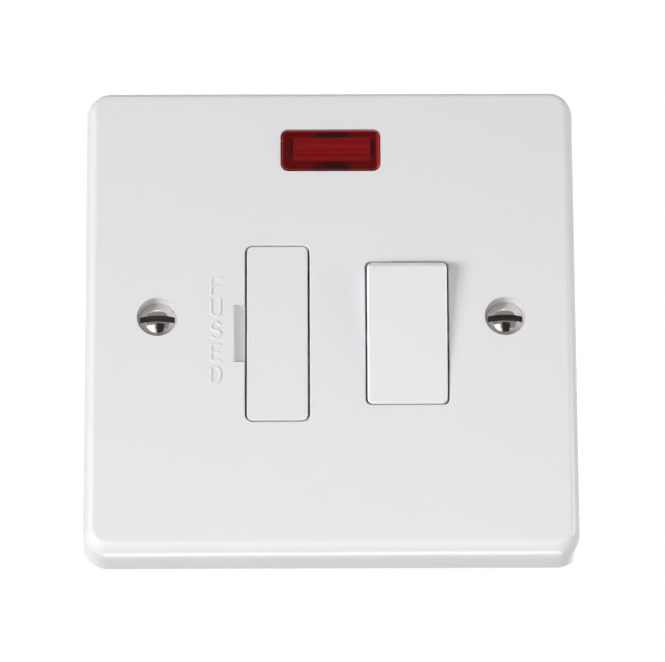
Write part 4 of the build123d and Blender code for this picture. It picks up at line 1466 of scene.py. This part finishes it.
@dataclass
class RearHousing:
    """The grey housing with its sunk panel, terminal letters and clamp screws."""

    bench: Bench
    columns: tuple[float, ...] = (-13.0, 0.0, 13.0)
    top_letters: str = "ELN"
    foot_letters: str = "LEN"
    top_z: float = 25.5
    foot_z: float = -31.5
    letter_y: float = 5.6
    letter_size: Pair = (2.0, 3.0)
    letter_stand: float = 0.2
    panel_size: Pair = (33.0, 33.0)
    panel_z: float = -3.0
    panel_depth: float = 0.4
    panel_corner: float = 2.0
    panel_inset: float = 2.6
    pin_r: float = 2.2
    pins: tuple[Pair, ...] = ((-9.0, -3.0), (9.0, -3.0))
    screw_places: tuple[Pair, ...] = ((-20.4, -19.65), (20.4, 13.65))
    seat_y: float = 3.5
    head_r: float = 2.25
    head_h: float = 1.7
    head_edge: float = 0.3
    shank_r: float = 1.12
    shank_l: float = 8.0
    point_r: float = 0.4
    point_l: float = 0.6
    thread_short: float = 1.4
    ridge_r: float = 0.24
    pitch: float = 0.8
    slot_width: float = 0.7
    slot_depth: float = 0.8

    def build(self) -> None:
        """Make and mount the housing, its letters, its marks and its screws."""
        sunk_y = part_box("rear_housing")[1].y / MM - self.panel_depth
        self.bench.mount("housing_cup", self.cup_mesh(sunk_y), Slot.GREY, Body.FIXED, "rear_housing")
        self.bench.mount("terminal_letters", self.letters_mesh(sunk_y), Slot.GREY, Body.FIXED)
        rings = self.bench.pin_rings([(x, sunk_y, z) for x, z in self.pins], self.pin_r, Slot.GREY)
        self.bench.mount("housing_pin_marks", rings, Slot.GREY, Body.FIXED)
        places = [(x, 0.0, z) for x, z in self.screw_places]
        mesh = self.screw().meshes(self.bench, places, Slot.ZINC)
        self.bench.mount("clamp_screw_pair", mesh, Slot.ZINC, Body.FIXED, "housing_screws")

    def cup_mesh(self, sunk_y: float) -> Mesh:
        """The housing with a shallow panel sunk into its rear wall.

        Args:
            sunk_y: Where the panel's ground lies, in millimetres.

        Returns:
            The shaded mesh.
        """
        work = bmesh.new()
        bmesh.ops.create_cube(work, size=1.0)
        block = Vector((self.panel_size[0], 4 * self.panel_depth, self.panel_size[1])) * MM
        bmesh.ops.scale(work, vec=block, verts=work.verts)
        corners = [edge for edge in work.edges if abs(edge.verts[0].co.y - edge.verts[1].co.y) > WELD]
        rounding = self.panel_corner * MM
        bmesh.ops.bevel(work, geom=corners, offset=rounding, segments=6, profile=0.5, affect="EDGES")
        place = Vector((0.0, sunk_y + 2 * self.panel_depth, self.panel_z)) * MM
        bmesh.ops.translate(work, vec=place, verts=work.verts)
        cup = mesh_object("cup", cad_copy("rear_housing"))
        tool = mesh_object("panel", plain_mesh(work, "panel"))
        cut = cup.modifiers.new("panel", "BOOLEAN")
        cut.operation, cut.solver, cut.object = "DIFFERENCE", "EXACT", tool
        mesh = baked(cup)
        bpy.data.objects.remove(tool)
        return shaded(mesh)

    def letters_mesh(self, sunk_y: float) -> Mesh:
        """The raised letters in front of each wire way and beside each screw, read from behind.

        Args:
            sunk_y: Where the ground of the rear wall's panel lies, in millimetres.

        Returns:
            All the letters as one shaded mesh.
        """
        reach = self.panel_size[1] / 2 - self.panel_inset
        letters = []
        for text, y, z, lean in (
            (self.top_letters, self.letter_y, self.top_z, 90.0),
            (self.foot_letters, self.letter_y, self.foot_z, -90.0),
            (self.top_letters, sunk_y, self.panel_z + reach, 0.0),
            (self.foot_letters, sunk_y, self.panel_z - reach, 0.0),
        ):
            turned = Matrix.Rotation(math.radians(lean), 4, "X") @ Matrix.Rotation(math.pi, 4, "Z")
            for x, letter in zip(self.columns, text):
                mesh = lettering(letter, *self.letter_size, self.letter_stand)
                mesh.transform(Matrix.Translation(Vector((x, y, z)) * MM) @ turned)
                letters.append(mesh)
        return shaded(joined(letters))

    def screw(self) -> Screw:
        """The clamp screw's sizes.

        Returns:
            A screw with a cheese head and a point.
        """
        top, tip = self.seat_y + self.head_h, self.seat_y - self.shank_l
        edge = self.head_edge
        profile = [(0.0, top)] + arc((self.head_r - edge, top - edge), edge, 90, 0, 5)
        profile += [
            (self.head_r, self.seat_y),
            (self.shank_r, self.seat_y),
            (self.shank_r, tip + self.point_l),
            (self.point_r, tip),
            (0.0, tip),
        ]
        return Screw(
            profile=profile,
            slot_width=self.slot_width,
            slot_from=top - self.slot_depth,
            slot_to=top + OVERRUN,
            core=self.shank_r,
            ridge=self.ridge_r,
            pitch=self.pitch,
            start=tip + self.point_l,
            length=self.shank_l - self.thread_short,
        )


@dataclass(frozen=True)
class Lamp:
    """A soft box: where it hangs, its size, power and tint, and whether gloss shows it."""

    name: str
    place: Triple
    size: Pair
    power: float
    mirrored: bool = True
    tint: Rgb = (1.0, 1.0, 1.0)

    def hang(self) -> None:
        """Put the lamp in the scene, aimed at the unit."""
        light = bpy.data.lights.new(self.name, "AREA")
        light.shape = "RECTANGLE"
        light.size, light.size_y = self.size
        light.energy = self.power
        light.color = self.tint
        obj = mesh_object(self.name, light)
        obj.location = self.place
        obj.rotation_euler = (-Vector(self.place)).to_track_quat("-Z", "Y").to_euler()
        obj.visible_camera = False
        obj.visible_glossy = self.mirrored


@dataclass
class Studio:
    """Camera, lamps, pale floor and white surroundings, in metres."""

    distance: float = 1.03856
    elevation: float = -20.17
    azimuth: float = -0.268
    roll: float = -0.256
    lens: float = 321.93
    sensor: float = 36.0
    shift: Pair = (0.00215, 0.0044)
    ambient: float = 0.14
    shade: Rgb = (1.0, 0.79, 0.78)
    white: Rgb = (1.0, 1.0, 1.0)
    floor_z: float = -0.90
    floor_half: float = 4.0
    floor_tint: Rgb = (0.60, 0.60, 0.60)
    floor_spread: float = 0.02
    floor_polish: float = 0.7
    floor_glow: float = 0.52
    flag_dark: Band = (0.95, 0.55, 0.30)
    flag_levels: Pair = (0.30, 0.04)
    stand_tint: Rgb = (0.02, 0.02, 0.02)
    stand_polish: float = 0.9
    card_glow: float = 1.6
    lamps: tuple[Lamp, ...] = (
        Lamp("key_box", (-1.20, -0.97, -0.43), (0.80, 0.50), 20.9, mirrored=False, tint=(0.965, 0.985, 1.00)),
        Lamp("top_box", (0.20, -0.36, 1.45), (1.20, 0.80), 3.6),
        Lamp("low_box", (0.02, -0.24, -0.13), (0.28, 0.10), 0.235, mirrored=False),
        Lamp("under_box", (0.0, 0.445, -0.546), (0.34, 0.14), 0.74),
        Lamp("left_strip", (-0.75, -0.06, 0.178), (0.20, 0.04), 0.20),
        Lamp("right_box", (1.40, -0.25, 0.10), (0.80, 0.80), 8.7),
        Lamp("back_box", (0.25, 1.50, 0.50), (1.20, 1.20), 9.5),
    )

    def build(self) -> None:
        """Set up the whole studio."""
        self.camera()
        self.surroundings()
        self.floor()
        self.cloth("flag", self.flag_cloth(), place=(0.0, -2.4, 0.6), half=(2.5, 2.5))
        self.cloth("stand", self.stand_cloth(), place=(0.10, -0.62, -0.33), half=(0.18, 0.35))
        self.cloth("card", self.card(), place=(-0.47, -0.56, -0.40), half=(0.33, 0.35))
        for lamp in self.lamps:
            lamp.hang()
        bpy.context.scene.view_settings.view_transform = "Standard"
        log.info("studio is set")

    def camera(self) -> None:
        """Place the camera at the photograph's viewing angle, looking up from below."""
        turn, rise = math.radians(self.azimuth), math.radians(self.elevation)
        level = math.cos(rise)
        back = Vector((math.sin(turn) * level, -math.cos(turn) * level, math.sin(rise)))
        data = bpy.data.cameras.new("camera")
        data.lens, data.sensor_width, data.sensor_fit = self.lens, self.sensor, "HORIZONTAL"
        data.shift_x, data.shift_y = self.shift
        obj = mesh_object("camera", data)
        obj.location = back * self.distance
        aim = (-back).to_track_quat("-Z", "Y").to_matrix().to_4x4()
        rolled = aim @ Matrix.Rotation(math.radians(self.roll), 4, "Z")
        obj.rotation_euler = rolled.to_euler()
        bpy.context.scene.camera = obj

    def surroundings(self) -> None:
        """A white world for the eye and for gloss, and a softer one for the light it gives."""
        world = bpy.data.worlds.new("studio")
        world.use_nodes = True
        bpy.context.scene.world = world
        wiring = Wiring(world.node_tree)
        sky = world.node_tree.nodes["Background"]
        seen = wiring.seen()
        levels = {"Value": seen, "To Min": self.ambient, "To Max": 1.0}
        wiring.feed(sky.inputs["Strength"], wiring.out("ShaderNodeMapRange", levels))
        wiring.feed(sky.inputs["Color"], wiring.blend(seen, self.shade, self.white))

    def sheet(self, name: str, place: Matrix, material: Material) -> bpy.types.Object:
        """A flat piece of the stage.

        Args:
            name: Its name.
            place: What takes a level square of two metres to its place.
            material: Its material.

        Returns:
            The new object.
        """
        work = bmesh.new()
        bmesh.ops.create_grid(work, x_segments=1, y_segments=1, size=1.0)
        mesh = plain_mesh(work, name)
        mesh.transform(place)
        mesh.materials.append(material)
        return mesh_object(name, mesh)

    def floor(self) -> None:
        """A pale floor well below the unit, which hangs on a wall."""
        material, wiring, shader = blank_material("pale_floor")
        cloud = wiring.noise(wiring.place(), scale=3.0, detail=2.0)
        tinted = {"Color": self.floor_tint, "Value": wiring.about(1.0, self.floor_spread, cloud)}
        wiring.feed(shader.inputs["Base Color"], wiring.out("ShaderNodeHueSaturation", tinted))
        wiring.feed(shader.inputs["Roughness"], self.floor_polish)
        glow = wiring.math("MULTIPLY", wiring.seen(), self.floor_glow)
        wiring.feed(shader.inputs["Emission Color"], self.white)
        wiring.feed(shader.inputs["Emission Strength"], glow)
        size = Matrix.Diagonal((self.floor_half, self.floor_half, 1, 1))
        self.sheet("floor", Matrix.Translation((0, 0, self.floor_z)) @ size, material)

    def flag_cloth(self) -> Material:
        """A grey cloth that is darker half way up.

        Returns:
            The new material.
        """
        material, wiring, shader = blank_material("grey_cloth")
        wiring.tree.nodes.remove(shader)
        height = wiring.add("ShaderNodeSeparateXYZ", {0: wiring.place()}).outputs[2]
        dark = wiring.within(height, *self.flag_dark)
        levels = {"Value": dark, "To Min": self.flag_levels[0], "To Max": self.flag_levels[1]}
        glow = wiring.out("ShaderNodeEmission", {"Color": wiring.out("ShaderNodeMapRange", levels)})
        wiring.feed(wiring.tree.nodes["Material Output"].inputs[0], glow)
        return material

    def stand_cloth(self) -> Material:
        """A black cloth.

        Returns:
            The new material.
        """
        material, wiring, shader = blank_material("black_cloth")
        wiring.feed(shader.inputs["Base Color"], self.stand_tint)
        wiring.feed(shader.inputs["Roughness"], self.stand_polish)
        return material

    def card(self) -> Material:
        """A white card that glows.

        Returns:
            The new material.
        """
        material, wiring, shader = blank_material("white_card")
        wiring.feed(shader.inputs["Base Color"], (0.0, 0.0, 0.0))
        wiring.feed(shader.inputs["Emission Color"], self.white)
        wiring.feed(shader.inputs["Emission Strength"], self.card_glow)
        return material

    def cloth(self, name: str, material: Material, place: Triple, half: Pair) -> None:
        """Hang one upright cloth that only gloss shows.

        Args:
            name: Its name.
            material: Its material.
            place: Its middle.
            half: Half of its width and height.
        """
        upright = Matrix.Rotation(math.pi / 2, 4, "X") @ Matrix.Diagonal((*half, 1, 1))
        hung = self.sheet(name, Matrix.Translation(place) @ upright, material)
        hung.visible_camera = hung.visible_diffuse = hung.visible_shadow = False
        hung.visible_transmission = False


def main() -> None:
    """Dress the unit, piece by piece, and set up its studio."""
    logging.basicConfig(level=logging.INFO, format="%(name)s: %(message)s")
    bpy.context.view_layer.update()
    Studio().build()
    bench = Bench()
    for assembly in (
        FrontPlate, FixingScrews, Indicator, RockerSwitch, FuseCarrier, Wireways, RearHousing
    ):
        assembly(bench).build()
        log.info("%s is done", assembly.__name__)


if __name__ == "__main__":
    main()
